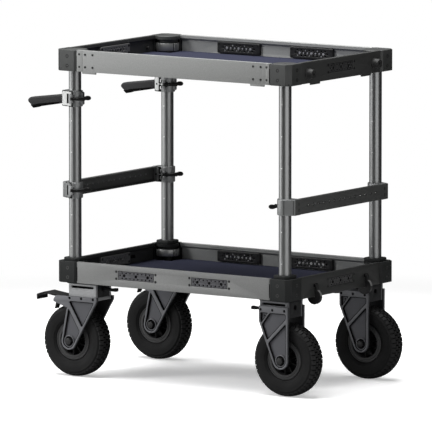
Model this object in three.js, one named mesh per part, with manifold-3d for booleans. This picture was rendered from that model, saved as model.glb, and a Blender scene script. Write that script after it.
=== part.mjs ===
// Two-shelf camera cart on four pneumatic swivel casters.
// Millimetres. +X runs along the length to the end without handles, -Y is the long front side,
// +Z is up, and the floor is z = 0.

import * as THREE from "three";
import { mergeVertices } from "three/addons/utils/BufferGeometryUtils.js";
import Module from "manifold-3d";

const wasm = await Module();
wasm.setup();

// Overall layout
const mastSpacingX = 786;
const mastSpacingY = 512;
const shelfSpacing = 665;
const railHeight = 67;
const wheelRadius = 114.3;

// Clearances
const seatGap = 0.3;
const boreGap = 0.3;
const turnGap = 0.5;
const cutOverrun = 2;
const fullTurn = 360;

// Masts
const mastRadius = 19;
const mastWall = 3;
const mastSides = 20;
const mastTopDepth = 16;
const mastFootDepth = 36;
const indexHoleRadius = 3.2;
const indexHoleSides = 4;
const indexHoleCount = 6;
const indexHoleTopDrop = 127;
const indexHoleFootRise = 45.5;

// Corner castings
const cornerReach = 43.5;
const cornerInner = 31.5;
const cornerChamfer = 15.3;
const cornerBevel = 6;
const cornerWall = 14;
const cornerFootHeight = 10;
const collarSides = 16;
const collarSlit = 2;
const topCapRadius = 39.4;
const capDrop = 1.5;
const topCapHeight = 10.5;
const topCollarRadius = 36.7;
const topCollarHeight = 25;
const topNeckRadius = 33;
const topNeckHeight = 12;
const baseFlangeAcross = 60;
const baseFlangeSides = 8;
const baseFlangeRise = 10;
const baseFlangeBevel = 4;
const baseCapRadius = 36;
const baseCapHeight = 8.5;
const baseNeckRadius = 29;
const baseNeckHeight = 8;
const baseCollarRadius = 35.6;
const baseCollarHeight = 22;
const baseLegRadius = 15;

// Shelf rails
const railInset = 5;
const railLip = 13;
const railLipHeight = 10;
const railWeb = 6;
const railLedge = 22;
const railLedgeHeight = 7;
const railTabLength = 52;
const railTabDrop = 6;
const railTabInset = 21;
const endTabInset = 54;
const railTabThickness = 5;

// Perforated accessory plates
const plateLength = 161;
const plateProud = 9;
const plateCorner = 4;
const plateCornerSteps = 3;
const plateBorderLength = 14.5;
const plateBorderHeight = 5.5;
const plateWindowGap = 0.8;
const plateRecess = 1;
const plateTopGap = 13;
const plateFloorGap = 2.7;
const platePitch = 14.8;
const plateHoleCount = 7;
const plateThroughStep = 3;
const plateHoleRadius = 5;
const plateHoleSides = 6;
const plateOffset = 137.5;

// Shelf floors
const floorThickness = 8;
const floorNotch = 40;

// Casters
const casterInsetX = 32;
const casterInsetY = 28;
const casterPlateLength = 104;
const casterPlateWidth = 88;
const casterPlateThickness = 6;
const kingpinRadius = 9;
const kingpinLength = 30;
const kingpinSides = 12;
const crownHalfLength = 52;
const crownHalfWidth = 42;
const crownSideWall = 8;
const crownRoom = 17.4;
const crownHeight = 50.7;
const crownSlotHalf = 42;
const crownSlotRise = 38;
const crownSlotHeight = 6.5;
const crownSlotDepth = 12;
const crownEyeRadius = 8;
const crownEyeDepth = 10;
const crownEyeDrop = 19;
const legThickness = 12;
const legBossRadius = 27;
const legBossSteps = 8;
const legRim = 6;
const legPocketDepth = 7;
const axleRadius = 8;
const axleSides = 10;
const axleBossRadius = 15;
const axleBossProud = 2;
const braked = {
  crownShift: 4,
  trail: 44.3,
  lockRise: 40,
  legRise: 11,
  leadEdge: 62,
  leadShoulderDrop: 0,
  trailEdge: -51,
  trailShoulderDrop: 27,
  bandDrop: 4,
  ribX: -41.6,
  ribDrop: 7.4,
  ribAngle: -58.6,
  ribWidth: 13,
};
const plain = {
  crownShift: 0,
  trail: 27.5,
  lockRise: 24,
  legRise: 35,
  leadEdge: 51,
  leadShoulderDrop: 13,
  trailEdge: -54.5,
  trailShoulderDrop: 13,
  bandDrop: -15,
  ribX: -44.8,
  ribDrop: 5.5,
  ribAngle: -45,
  ribWidth: 9,
};
const braceX = 12.4;
const braceRise = 13.4;
const braceAngle = -52.5;
const braceWidth = 4.4;

// Brake pedal and its ears on the fork legs
const earReach = 102;
const earTopRise = 10;
const earNoseDrop = 1;
const earHeelDrop = 9;
const earSlope = 93;
const earOverlap = 5;
const pedalPivotX = 90;
const pedalPinRadius = 4;
const pedalPinSides = 8;
const pedalHalfWidth = 27;
const pedalThickness = 6;
const pedalRoot = 66;
const pedalCrestX = 150;
const pedalCrestRise = 16;
const pedalTip = 182;
const pedalTipRise = 6;
const pedalLipDrop = 17;
const pedalShoeHalfWidth = 9;
const pedalShoeGap = 6.4;
const pedalShoeAngle = 48.7;
const pedalShoeRootX = 108;
const pedalShoeRootWidth = 14;

// Swivel lock levers
const lockHalfWidth = 7;
const lockThickness = 7;
const lockLength = 56;
const lockDrop = 6;
const lockTipHeight = 11;
const lockTipLength = 16;
const lockPivotInset = 6;
const lockHubRadius = 4.5;
const lockHubSides = 8;
const lockNotchRise = 7;
const lockNotchDrop = 8.6;

// Wheels
const tyreHalfWidth = 32;
const tyreSegments = 24;
const tyreCrownHalf = 14;
const tyreShoulderHalf = 27;
const tyreShoulderDrop = 9;
const tyreWaistRadius = 86;
const tyreHipRise = 7;
const tyreHipHalf = 28;
const beadHalfWidth = 22;
const rimFlangeWidth = 4;
const rimBeadHeight = 8;
const rimBarrelWall = 8;
const rimBarrelRadius = 45;
const rimSegments = 24;
const hubRadius = 20;
const hubHalfLength = 36;
const hubSegments = 12;
const hubWaistRadius = 15;
const hubWaistHalf = 27;
const webThickness = 9;
const webWindowCount = 5;
const webWindowBorderInner = 6;
const webWindowBorderOuter = 4;
const webWindowHalfAngle = 24;
const webWindowSteps = 3;

// Clamps on the masts, shared by the push handles and the mid rails
const clampRadius = 24.5;
const clampOuter = 43;
const clampHeight = 50;
const clampArcSteps = 10;
const clampSlit = 3;
const clampSlitReach = 26;
const clampEarRadius = 5.5;
const clampEarHeight = 8;
const clampEarSides = 8;
const leverPivotX = 6;
const leverPivotY = 29;
const leverThickness = 10;
const leverTipX = 58;
const leverTipY = 5;
const leverRootHalf = 3.6;
const leverTipHalf = 5;
const leverTipSteps = 4;

// Push handles
const handleDrop = 156;
const handlePlateHalf = 15;
const gripHalfWidth = 15;
const gripRound = 4;
const gripRoundSteps = 2;
const gripRootTop = 11;
const gripRootBottom = -17;
const gripTopX = 166;
const gripTopZ = -5;
const gripNoseX = 175;
const gripNoseZ = -17;
const gripHeelX = 149;
const gripHeelZ = -38;
const gripPadX = 136;
const gripPadZ = -33;

// Mid rails
const midRailHeight = 47;
const midRailRise = 221;
const midRailDepth = 18;
const midRailWall = 4;
const midRailRound = 5;
const midRailOver = 6.5;
const midRailHoleRadius = 3.5;
const midRailHoleSides = 6;
const midRailHoleCount = 14;
const midRailHolePitch = 29.5;
const midRailHoleRise = 2;

// Tray knobs
const knobOffsetY = 187;
const knobDrop = 37;
const knobBaseRadius = 18;
const knobBaseHeight = 5;
const knobWaistRadius = 16;
const knobFaceRadius = 13.5;
const knobHeight = 22;
const knobRecessRadius = 5;
const knobRecessDepth = 4;
const knobShaftRadius = 5;
const knobShaftLength = 16;
const knobSegments = 12;

// Base release levers, set further in at the braked end so that the swivel locks turn past them
const releaseOffsetPlain = 143;
const releaseOffsetBraked = 110;
const releasePivotDrop = 32;
const releaseHubRadius = 5;
const releaseHubSides = 8;
const releaseSlotHalf = 11;
const releaseSlotHeight = 13;
const releaseHalfWidth = 6;
const releaseDiscRadius = 24.2;
const releaseDiscSteps = 14;
const releaseFaceGap = 0.6;
const releaseUnderGap = 1.5;
const releaseNeckWidth = 7;
const releaseNeckAngle = 58;
const releaseNeckRise = 2;
const releaseShoulderAngle = 45;

// Finishes
const finishes = {
  silverRail: { color: 0x9a9c98, roughness: 0.5, metalness: 0.7 },
  darkRail: { color: 0x4a4c4a, roughness: 0.5, metalness: 0.6 },
  casting: { color: 0x3c3f3e, roughness: 0.5, metalness: 0.5 },
  mast: { color: 0xa8aaa8, roughness: 0.3, metalness: 0.9 },
  floor: { color: 0x3a3c4c, roughness: 0.9, metalness: 0 },
  fork: { color: 0x62626a, roughness: 0.5, metalness: 0.6 },
  rim: { color: 0x3c3c3e, roughness: 0.5, metalness: 0.3 },
  tyre: { color: 0x1c1c1c, roughness: 0.9, metalness: 0 },
  clamp: { color: 0x6c6e6e, roughness: 0.4, metalness: 0.7 },
  blackSteel: { color: 0x161616, roughness: 0.4, metalness: 0.4 },
  midRail: { color: 0x343634, roughness: 0.5, metalness: 0.5 },
  grip: { color: 0x2c2c2e, roughness: 0.7, metalness: 0 },
};

const crownBottom = 2 * wheelRadius + crownRoom;
const crownTop = crownBottom + crownHeight;
const baseShelfTop = crownTop + seatGap + casterPlateThickness + railHeight;
const topShelfTop = baseShelfTop + shelfSpacing;
const handleHeight = topShelfTop - handleDrop;
const midRailCentre = baseShelfTop + midRailRise;
const legInner = crownHalfWidth + crownSideWall - legThickness;
const plateHeight = railHeight - railLedgeHeight - seatGap - floorThickness - plateFloorGap - plateTopGap;
const plateDrop = plateTopGap + plateHeight / 2;
const rimWellRadius = rimBarrelRadius + rimBarrelWall;
const rimFlangeRadius = rimWellRadius + rimBeadHeight;
const mastX = mastSpacingX / 2;
const mastY = mastSpacingY / 2;
const railFace = cornerReach - railInset;

// Geometry helpers

// Turns a closed three.js geometry into a solid that can be joined and cut.
function solid(geometry) {
  const bare = geometry.index ? geometry : geometry.clone();
  bare.deleteAttribute("normal");
  bare.deleteAttribute("uv");
  const merged = mergeVertices(bare, 1e-4);
  return new wasm.Manifold(
    new wasm.Mesh({
      numProp: 3,
      vertProperties: merged.attributes.position.array,
      triVerts: new Uint32Array(merged.index.array),
    }),
  );
}

// Turns a solid back into a geometry for a mesh.
function geometryOf(body) {
  const mesh = body.getMesh();
  const positions = new Float32Array(mesh.numVert * 3);
  for (let i = 0; i < mesh.numVert; i++) {
    positions.set(mesh.vertProperties.subarray(i * mesh.numProp, i * mesh.numProp + 3), i * 3);
  }
  const geometry = new THREE.BufferGeometry();
  geometry.setAttribute("position", new THREE.BufferAttribute(positions, 3));
  geometry.setIndex(new THREE.BufferAttribute(mesh.triVerts, 1));
  geometry.computeVertexNormals();
  return geometry;
}

function union(...bodies) {
  return bodies.reduce((sum, body) => sum.add(body));
}

function box(x0, x1, y0, y1, z0, z1) {
  const geometry = new THREE.BoxGeometry(x1 - x0, y1 - y0, z1 - z0);
  return solid(geometry.translate((x0 + x1) / 2, (y0 + y1) / 2, (z0 + z1) / 2));
}

function shapeOf(points) {
  return new THREE.Shape(points.map(([u, v]) => new THREE.Vector2(u, v)));
}

function extruded(shape, depth) {
  return new THREE.ExtrudeGeometry(shape, { depth, bevelEnabled: false });
}

// Prism with its outline in XY, from z0 to z1.
function prismZ(points, z0, z1) {
  return solid(extruded(shapeOf(points), z1 - z0).translate(0, 0, z0));
}

// Prism with its outline in XZ, from y0 to y1.
function prismY(points, y0, y1) {
  return solid(extruded(shapeOf(points), y1 - y0).rotateX(Math.PI / 2).translate(0, y1, 0));
}

// Prism with its outline in YZ, from x0 to x1.
function prismX(points, x0, x1) {
  const turn = new THREE.Matrix4().makeBasis(
    new THREE.Vector3(0, 1, 0),
    new THREE.Vector3(0, 0, 1),
    new THREE.Vector3(1, 0, 0),
  );
  return solid(extruded(shapeOf(points), x1 - x0).applyMatrix4(turn).translate(x0, 0, 0));
}

// Upright cylinder or cone about (x, y), from z0 to z1.
function postZ(radius, z0, z1, sides, x = 0, y = 0, topRadius = radius, turn = 0) {
  const geometry = new THREE.CylinderGeometry(topRadius, radius, z1 - z0, sides);
  return solid(geometry.rotateX(Math.PI / 2).rotateZ(turn).translate(x, y, (z0 + z1) / 2));
}

// Cylinder along Y about (x, z), from y0 to y1.
function postY(radius, y0, y1, sides, x = 0, z = 0) {
  const geometry = new THREE.CylinderGeometry(radius, radius, y1 - y0, sides);
  return solid(geometry.translate(x, (y0 + y1) / 2, z));
}

// Cylinder along X about (y, z), from x0 to x1.
function postX(radius, x0, x1, sides, y = 0, z = 0) {
  const geometry = new THREE.CylinderGeometry(radius, radius, x1 - x0, sides);
  return solid(geometry.rotateZ(Math.PI / 2).translate((x0 + x1) / 2, y, z));
}

// Ring turned about Y from [radius, y] points, closed on themselves and put in order.
function turned(points, segments) {
  const profile = points.map(([r, y]) => new THREE.Vector2(r, y));
  if (THREE.ShapeUtils.isClockWise(profile)) profile.reverse();
  return new THREE.LatheGeometry([...profile, profile[0]], segments);
}

// Points on an arc from one angle to another, in degrees.
function arc(cx, cy, radius, from, to, steps) {
  return Array.from({ length: steps + 1 }, (_, i) => {
    const angle = THREE.MathUtils.degToRad(from + ((to - from) * i) / steps);
    return [cx + radius * Math.cos(angle), cy + radius * Math.sin(angle)];
  });
}

// Rectangle about (cx, cy) with rounded corners.
function roundedRectangle(cx, cy, width, height, radius, steps) {
  const dx = width / 2 - radius;
  const dy = height / 2 - radius;
  const quarter = fullTurn / 4;
  return [
    ...arc(cx + dx, cy + dy, radius, 0, quarter, steps),
    ...arc(cx - dx, cy + dy, radius, quarter, 2 * quarter, steps),
    ...arc(cx - dx, cy - dy, radius, 2 * quarter, 3 * quarter, steps),
    ...arc(cx + dx, cy - dy, radius, 3 * quarter, fullTurn, steps),
  ];
}

// Angle in degrees at which a line from an outside point touches a circle.
function tangentAngle(px, py, cx, cy, radius, side) {
  const towards = Math.atan2(py - cy, px - cx);
  const spread = Math.acos(radius / Math.hypot(px - cx, py - cy));
  return THREE.MathUtils.radToDeg(towards + side * spread);
}

// Part of a convex outline that lies further than a distance to the left of the line from a to b.
function leftOf(points, a, b, distance) {
  const along = [b[0] - a[0], b[1] - a[1]];
  const length = Math.hypot(...along);
  const depth = ([u, v]) => (along[0] * (v - a[1]) - along[1] * (u - a[0])) / length - distance;
  return points.flatMap((here, i) => {
    const next = points[(i + 1) % points.length];
    const [from, to] = [depth(here), depth(next)];
    const kept = from >= 0 ? [here] : [];
    if (from < 0 === to < 0) return kept;
    const crossing = from / (from - to);
    kept.push([here[0] + crossing * (next[0] - here[0]), here[1] + crossing * (next[1] - here[1])]);
    return kept;
  });
}

// Convex outline, drawn anticlockwise, with every edge moved inwards.
function inset(points, distance) {
  return points.reduce((rest, here, i) => {
    const next = points[(i + 1) % points.length];
    return leftOf(rest, here, next, distance);
  }, points);
}

// Second point of a line that leaves a point at an angle in degrees.
function headingFrom([u, v], angle) {
  const turn = THREE.MathUtils.degToRad(angle);
  return [u + Math.cos(turn), v + Math.sin(turn)];
}

function part(name, body, finish) {
  const mesh = new THREE.Mesh(geometryOf(body), new THREE.MeshStandardMaterial(finish));
  mesh.name = name;
  return mesh;
}

// The four corners of the cart, with the way that points outwards.
const corners = [
  { tag: "front_left", sx: -1, sy: -1 },
  { tag: "front_right", sx: 1, sy: -1 },
  { tag: "back_left", sx: -1, sy: 1 },
  { tag: "back_right", sx: 1, sy: 1 },
];

// Masts

function mast() {
  const top = topShelfTop - mastTopDepth;
  const foot = baseShelfTop - mastFootDepth + seatGap;
  const bore = mastRadius - mastWall;
  const profile = [[bore, foot], [mastRadius, foot], [mastRadius, top], [bore, top]];
  const tube = solid(turned(profile, mastSides).rotateX(Math.PI / 2));
  const firstHole = topShelfTop - indexHoleTopDrop;
  const pitch = (shelfSpacing - indexHoleTopDrop - indexHoleFootRise) / (indexHoleCount - 1);
  return Array.from({ length: indexHoleCount }, (_, i) => firstHole - i * pitch).reduce(
    (body, z) => body.subtract(postY(indexHoleRadius, -mastRadius - cutOverrun, 0, indexHoleSides, 0, z)),
    tube,
  );
}

// Corner castings, drawn for the corner at +X +Y, with the mast on the Z axis and the shelf top at z = 0

function cornerWalls() {
  const inner = -cornerInner;
  const outer = cornerReach;
  const back = cornerReach - cornerWall;
  const outline = [
    [inner, outer - cornerBevel],
    [inner + cornerBevel, outer],
    [outer - cornerChamfer, outer],
    [outer, outer - cornerChamfer],
    [outer, inner + cornerBevel],
    [outer - cornerBevel, inner],
    [back, inner],
    [back, back],
    [inner, back],
  ];
  return prismZ(outline, -railHeight, 0);
}

function cornerFoot() {
  const outer = cornerReach - cornerWall / 2;
  return box(-cornerInner, outer, -cornerInner, outer, -railHeight, cornerFootHeight - railHeight);
}

function mastBore(z0, z1) {
  return postZ(mastRadius + boreGap, z0, z1, mastSides);
}

function clampSlitCut(reach, z0, z1) {
  return box(-reach - cutOverrun, -mastRadius, -collarSlit / 2, collarSlit / 2, z0, z1);
}

function topCorner() {
  const capFoot = -capDrop - topCapHeight;
  const collarTop = capFoot - topNeckHeight;
  const collarFoot = collarTop - topCollarHeight;
  const body = union(
    cornerWalls(),
    cornerFoot(),
    postZ(topCapRadius, capFoot, -capDrop, collarSides),
    postZ(topNeckRadius, -railHeight, -capDrop, collarSides),
    postZ(topCollarRadius, collarFoot, collarTop, collarSides),
  );
  return body
    .subtract(mastBore(-railHeight - cutOverrun, seatGap - mastTopDepth))
    .subtract(clampSlitCut(topCollarRadius, collarFoot, collarTop));
}

function casterPlate() {
  const x0 = -casterInsetX - casterPlateLength / 2;
  const y0 = -casterInsetY - casterPlateWidth / 2;
  const top = -railHeight;
  const foot = top - casterPlateThickness;
  const plate = box(x0, x0 + casterPlateLength, y0, y0 + casterPlateWidth, foot, top);
  const pin = postZ(kingpinRadius, foot - kingpinLength, foot, kingpinSides, -casterInsetX, -casterInsetY);
  return plate.add(pin);
}

function baseCorner() {
  const neckTop = -capDrop - baseCapHeight;
  const collarTop = neckTop - baseNeckHeight;
  const collarFoot = collarTop - baseCollarHeight;
  const turn = Math.PI / baseFlangeSides;
  const flange = baseFlangeAcross / 2 / Math.cos(turn);
  const bevelFoot = baseFlangeRise - baseFlangeBevel;
  const body = union(
    cornerWalls(),
    cornerFoot(),
    casterPlate(),
    postZ(baseCapRadius, neckTop, -capDrop, collarSides),
    postZ(flange, -capDrop, bevelFoot, baseFlangeSides, 0, 0, flange, turn),
    postZ(flange, bevelFoot, baseFlangeRise, baseFlangeSides, 0, 0, flange - baseFlangeBevel, turn),
    postZ(baseNeckRadius, collarTop, neckTop, collarSides),
    postZ(baseCollarRadius, collarFoot, collarTop, collarSides),
    postZ(baseLegRadius, -railHeight, collarFoot, collarSides),
  );
  return body
    .subtract(mastBore(-mastFootDepth, baseFlangeRise + cutOverrun))
    .subtract(clampSlitCut(baseCollarRadius, collarFoot, collarTop));
}

// Shelf rails, drawn along X with the outer face at y = 0 looking to +Y and the top at z = 0

function railBar(length) {
  const lipFoot = -railLipHeight - (railLip - railWeb);
  const ledgeTop = railLedgeHeight - railHeight;
  const profile = [
    [0, 0],
    [-railLip, 0],
    [-railLip, -railLipHeight],
    [-railWeb, lipFoot],
    [-railWeb, ledgeTop],
    [-railLedge, ledgeTop],
    [-railLedge, -railHeight],
    [0, -railHeight],
  ];
  return prismX(profile, -length / 2, length / 2);
}

// Block behind and through the rail's window, larger than the plate's boss by a gap all round.
function plateBlock(x, gap, y0, y1) {
  const halfLength = plateLength / 2 - plateBorderLength + gap;
  const halfHeight = plateHeight / 2 - plateBorderHeight + gap;
  return box(x - halfLength, x + halfLength, y0, y1, -plateDrop - halfHeight, halfHeight - plateDrop);
}

function plateBody(x) {
  const back = -railWeb - plateProud;
  const outline = roundedRectangle(x, -plateDrop, plateLength, plateHeight, plateCorner, plateCornerSteps);
  return prismY(outline, back, -railWeb).add(plateBlock(x, 0, back, -plateRecess));
}

function plateHoles(x) {
  const back = -railWeb - plateProud - cutOverrun;
  const holes = Array.from({ length: plateHoleCount }, (_, i) => {
    const column = i - (plateHoleCount - 1) / 2;
    const front = column % plateThroughStep === 0 ? 0 : -railWeb;
    return postY(plateHoleRadius, back, front, plateHoleSides, x + column * platePitch, -plateDrop);
  });
  return union(...holes);
}

function withPlates(rail, places) {
  return places.reduce(
    (body, x) =>
      body
        .subtract(plateBlock(x, plateWindowGap, -railWeb, cutOverrun))
        .add(plateBody(x))
        .subtract(plateHoles(x)),
    rail,
  );
}

// Short tabs under the top shelf's rails, one near each end.
function railTabs(length, inset) {
  const start = length / 2 - inset - railTabLength;
  const foot = -railHeight - railTabDrop;
  return [-1, 1].map((side) => {
    const x0 = Math.min(side * start, side * (start + railTabLength));
    return box(x0, x0 + railTabLength, -railTabThickness, 0, foot, -railHeight);
  });
}

const longRailLength = mastSpacingX - 2 * cornerInner - 2 * seatGap;
const endRailLength = mastSpacingY - 2 * cornerInner - 2 * seatGap;

function topFrontRail() {
  return union(railBar(longRailLength), ...railTabs(longRailLength, railTabInset));
}

function topBackRail() {
  return union(baseLongRail(), ...railTabs(longRailLength, railTabInset));
}

function topEndRail() {
  const bore = knobShaftRadius + boreGap;
  const rail = union(withPlates(railBar(endRailLength), [0]), ...railTabs(endRailLength, endTabInset));
  return [-knobOffsetY, knobOffsetY].reduce(
    (body, x) => body.subtract(postY(bore, -railLedge, cutOverrun, knobSegments, x, -knobDrop)),
    rail,
  );
}

function baseLongRail() {
  return withPlates(railBar(longRailLength), [-plateOffset, plateOffset]);
}

function baseEndRail(offset) {
  const half = releaseSlotHeight / 2;
  return [-offset, offset].reduce(
    (body, x) =>
      body.subtract(
        box(
          x - releaseSlotHalf,
          x + releaseSlotHalf,
          -railLedge,
          cutOverrun,
          -releasePivotDrop - half,
          half - releasePivotDrop,
        ),
      ),
    withPlates(railBar(endRailLength), [0]),
  );
}

// Shelf floor with its lining, notched round the corner castings, top face at the lining
function shelfFloor() {
  const halfX = mastX + railFace - railWeb - seatGap;
  const halfY = mastY + railFace - railWeb - seatGap;
  const notchX = mastX - floorNotch;
  const notchY = mastY - floorNotch;
  const outline = [
    [notchX, halfY], [-notchX, halfY], [-notchX, notchY], [-halfX, notchY],
    [-halfX, -notchY], [-notchX, -notchY], [-notchX, -halfY], [notchX, -halfY],
    [notchX, -notchY], [halfX, -notchY], [halfX, notchY], [notchX, notchY],
  ];
  const foot = railLedgeHeight - railHeight + seatGap;
  return prismZ(outline, foot, foot + floorThickness);
}

// Casters, drawn round the swivel axis with the floor at z = 0 and the wheel trailing to -X

function legOutline(kind) {
  const leadShoulder = crownBottom - kind.leadShoulderDrop;
  const trailShoulder = crownBottom - kind.trailShoulderDrop;
  const top = crownBottom + kind.legRise;
  const wheel = [-kind.trail, wheelRadius];
  const leadTouch = tangentAngle(kind.leadEdge, leadShoulder, ...wheel, legBossRadius, -1);
  const trailTouch = tangentAngle(kind.trailEdge, trailShoulder, ...wheel, legBossRadius, 1);
  return [
    [kind.leadEdge, top],
    [kind.trailEdge, top],
    [kind.trailEdge, trailShoulder],
    ...arc(...wheel, legBossRadius, trailTouch, leadTouch + fullTurn, legBossSteps),
    [kind.leadEdge, leadShoulder],
  ];
}

// Ear on a braked leg that carries the pedal pin.
function earOutline() {
  return [
    [braked.trailEdge + earOverlap, crownBottom + braked.legRise],
    [-earSlope, crownBottom + earTopRise],
    [-earReach, crownBottom - earNoseDrop],
    [-earReach, crownBottom - earHeelDrop],
    [braked.trailEdge + earOverlap, crownBottom - braked.trailShoulderDrop],
  ];
}

// Pockets milled in a leg's outer face, split by a slanting rib and, on a plain leg, by a short brace.
function legPockets(kind) {
  const hollow = inset(legOutline(kind), legRim);
  const bandFoot = crownBottom - kind.bandDrop;
  const ribFrom = [kind.ribX, crownBottom - kind.ribDrop];
  const ribTo = headingFrom(ribFrom, kind.ribAngle);
  const below = leftOf(hollow, [kind.leadEdge, bandFoot], [kind.trailEdge, bandFoot], 0);
  const upper = leftOf(below, ribFrom, ribTo, 0);
  const lower = leftOf(hollow, ribTo, ribFrom, kind.ribWidth);
  if (kind === braked) return [upper, lower];
  const braceFrom = [braceX, crownBottom + braceRise];
  const braceTo = headingFrom(braceFrom, braceAngle);
  return [leftOf(upper, braceTo, braceFrom, 0), leftOf(upper, braceFrom, braceTo, braceWidth), lower];
}

// Prism with its outline in XZ between two distances from the caster's middle, on one side of it.
function sidePrism(points, side, near, far) {
  return prismY(points, Math.min(side * near, side * far), Math.max(side * near, side * far));
}

function leg(kind, side) {
  const outer = legInner + legThickness;
  let body = sidePrism(legOutline(kind), side, legInner, outer);
  if (kind === braked) body = body.add(sidePrism(earOutline(), side, legInner, outer));
  for (const outline of legPockets(kind)) {
    body = body.subtract(sidePrism(outline, side, outer - legPocketDepth, outer + cutOverrun));
  }
  const boss = arc(-kind.trail, wheelRadius, axleBossRadius, 0, fullTurn, axleSides).slice(1);
  return body.add(sidePrism(boss, side, legInner, outer + axleBossProud));
}

function crown(kind) {
  const middle = kind.crownShift;
  const lead = middle + crownHalfLength;
  const trail = middle - crownHalfLength;
  const slotFoot = crownBottom + crownSlotRise;
  const pivot = crownBottom + kind.lockRise;
  const core = box(trail, lead, -crownHalfWidth, crownHalfWidth, crownBottom, crownTop);
  const slots = [-1, 1].map((side) => {
    const edge = side * (crownHalfWidth + cutOverrun);
    const floor = side * (crownHalfWidth - crownSlotDepth);
    const ends = [Math.min(edge, floor), Math.max(edge, floor)];
    return box(middle - crownSlotHalf, middle + crownSlotHalf, ...ends, slotFoot, slotFoot + crownSlotHeight);
  });
  const pinFoot = crownTop - kingpinLength - seatGap;
  const pinHole = postZ(kingpinRadius + turnGap, pinFoot, crownTop + cutOverrun, kingpinSides);
  const eyeZ = crownTop - crownEyeDrop;
  const eye = postX(crownEyeRadius, trail - cutOverrun, trail + crownEyeDepth, kingpinSides, 0, eyeZ);
  const notch = box(
    crownHalfLength - lockPivotInset - lockHubRadius - seatGap,
    lead + cutOverrun,
    -lockHalfWidth - seatGap,
    lockHalfWidth + seatGap,
    pivot - lockNotchDrop,
    pivot + lockNotchRise,
  );
  const cuts = kind === plain ? [...slots, pinHole, notch, eye] : [...slots, pinHole, notch];
  return cuts.reduce((body, cut) => body.subtract(cut), core);
}

function fork(kind) {
  const end = legInner + legThickness;
  const axle = postY(axleRadius, -end, end, axleSides, -kind.trail, wheelRadius);
  return union(crown(kind), leg(kind, -1), leg(kind, 1), axle);
}

// Swivel lock, drawn with its pin at the origin and its blade to +X
function lockLever() {
  const tip = lockPivotInset + lockLength;
  const half = lockThickness / 2;
  const blade = prismY(
    [
      [0, -half],
      [tip - lockTipLength, -half - lockDrop],
      [tip, -half - lockDrop],
      [tip, lockTipHeight - half - lockDrop],
      [tip - lockTipLength, half - lockDrop / 2],
      [0, half],
    ],
    -lockHalfWidth,
    lockHalfWidth,
  );
  return blade.add(postY(lockHubRadius, -lockHalfWidth, lockHalfWidth, lockHubSides));
}

// Brake pedal, drawn with its pin at the origin and its tread to -X
function pedal() {
  const at = (x, rise) => [pedalPivotX - x, rise];
  const half = pedalThickness / 2;
  const tread = [
    at(pedalRoot, pedalThickness),
    at(pedalCrestX, pedalCrestRise),
    at(pedalTip, pedalTipRise),
    at(pedalTip, pedalTipRise - pedalLipDrop),
    at(pedalTip - pedalThickness, pedalTipRise - pedalLipDrop),
    at(pedalTip - pedalThickness, pedalTipRise - pedalThickness),
    at(pedalCrestX, pedalCrestRise - pedalThickness),
    at(pedalRoot, -half),
  ];
  const reach = wheelRadius + pedalShoeGap;
  const angle = THREE.MathUtils.degToRad(pedalShoeAngle);
  const tipX = braked.trail + reach * Math.cos(angle);
  const tipRise = wheelRadius + reach * Math.sin(angle) - crownBottom;
  const shoe = [
    at(pedalShoeRootX - pedalShoeRootWidth / 2, half),
    at(pedalShoeRootX + pedalShoeRootWidth / 2, half),
    at(tipX + half, tipRise),
    at(tipX - half, tipRise),
  ];
  const pinHalf = legInner - seatGap;
  return union(
    prismY(tread, -pedalHalfWidth, pedalHalfWidth),
    prismY(shoe, -pedalShoeHalfWidth, pedalShoeHalfWidth),
    postY(pedalPinRadius, -pinHalf, pinHalf, pedalPinSides),
  );
}

// Wheels, drawn round the origin with the axle along Y

function tyre() {
  const seat = rimWellRadius + seatGap;
  const lip = rimFlangeRadius + seatGap;
  const half = [
    [seat, beadHalfWidth - seatGap],
    [lip, beadHalfWidth - seatGap],
    [rimFlangeRadius + tyreHipRise, tyreHipHalf],
    [tyreWaistRadius, tyreHalfWidth],
    [wheelRadius - tyreShoulderDrop, tyreShoulderHalf],
    [wheelRadius, tyreCrownHalf],
  ];
  const other = half.map(([r, y]) => [r, -y]).reverse();
  return solid(turned([...other, ...half], tyreSegments));
}

function rim() {
  const flangeEnd = beadHalfWidth + rimFlangeWidth;
  const ring = turned(
    [
      [rimBarrelRadius, -flangeEnd],
      [rimBarrelRadius, flangeEnd],
      [rimFlangeRadius, flangeEnd],
      [rimFlangeRadius, beadHalfWidth],
      [rimWellRadius, beadHalfWidth],
      [rimWellRadius, -beadHalfWidth],
      [rimFlangeRadius, -beadHalfWidth],
      [rimFlangeRadius, -flangeEnd],
    ],
    rimSegments,
  );
  const hub = turned(
    [
      [axleRadius + turnGap, -hubHalfLength],
      [axleRadius + turnGap, hubHalfLength],
      [hubWaistRadius, hubHalfLength],
      [hubRadius, hubWaistHalf],
      [hubRadius, -hubWaistHalf],
      [hubWaistRadius, -hubHalfLength],
    ],
    hubSegments,
  );
  const half = webThickness / 2;
  const webEdge = (rimBarrelRadius + rimWellRadius) / 2;
  const webEye = (hubRadius + hubWaistRadius) / 2;
  const web = turned([[webEye, -half], [webEye, half], [webEdge, half], [webEdge, -half]], rimSegments);
  const windows = Array.from({ length: webWindowCount }, (_, i) => {
    const from = (i * fullTurn) / webWindowCount - webWindowHalfAngle;
    const to = from + 2 * webWindowHalfAngle;
    const outline = [
      ...arc(0, 0, rimBarrelRadius - webWindowBorderOuter, from, to, webWindowSteps),
      ...arc(0, 0, hubRadius + webWindowBorderInner, to, from, webWindowSteps),
    ];
    return prismY(outline, -half - cutOverrun, half + cutOverrun);
  });
  const spoked = windows.reduce((body, window) => body.subtract(window), solid(web));
  return union(solid(ring), solid(hub), spoked);
}

// Clamps round a mast, drawn with the mast on the Z axis, the outer face at +X and the lever at -Y

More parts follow.
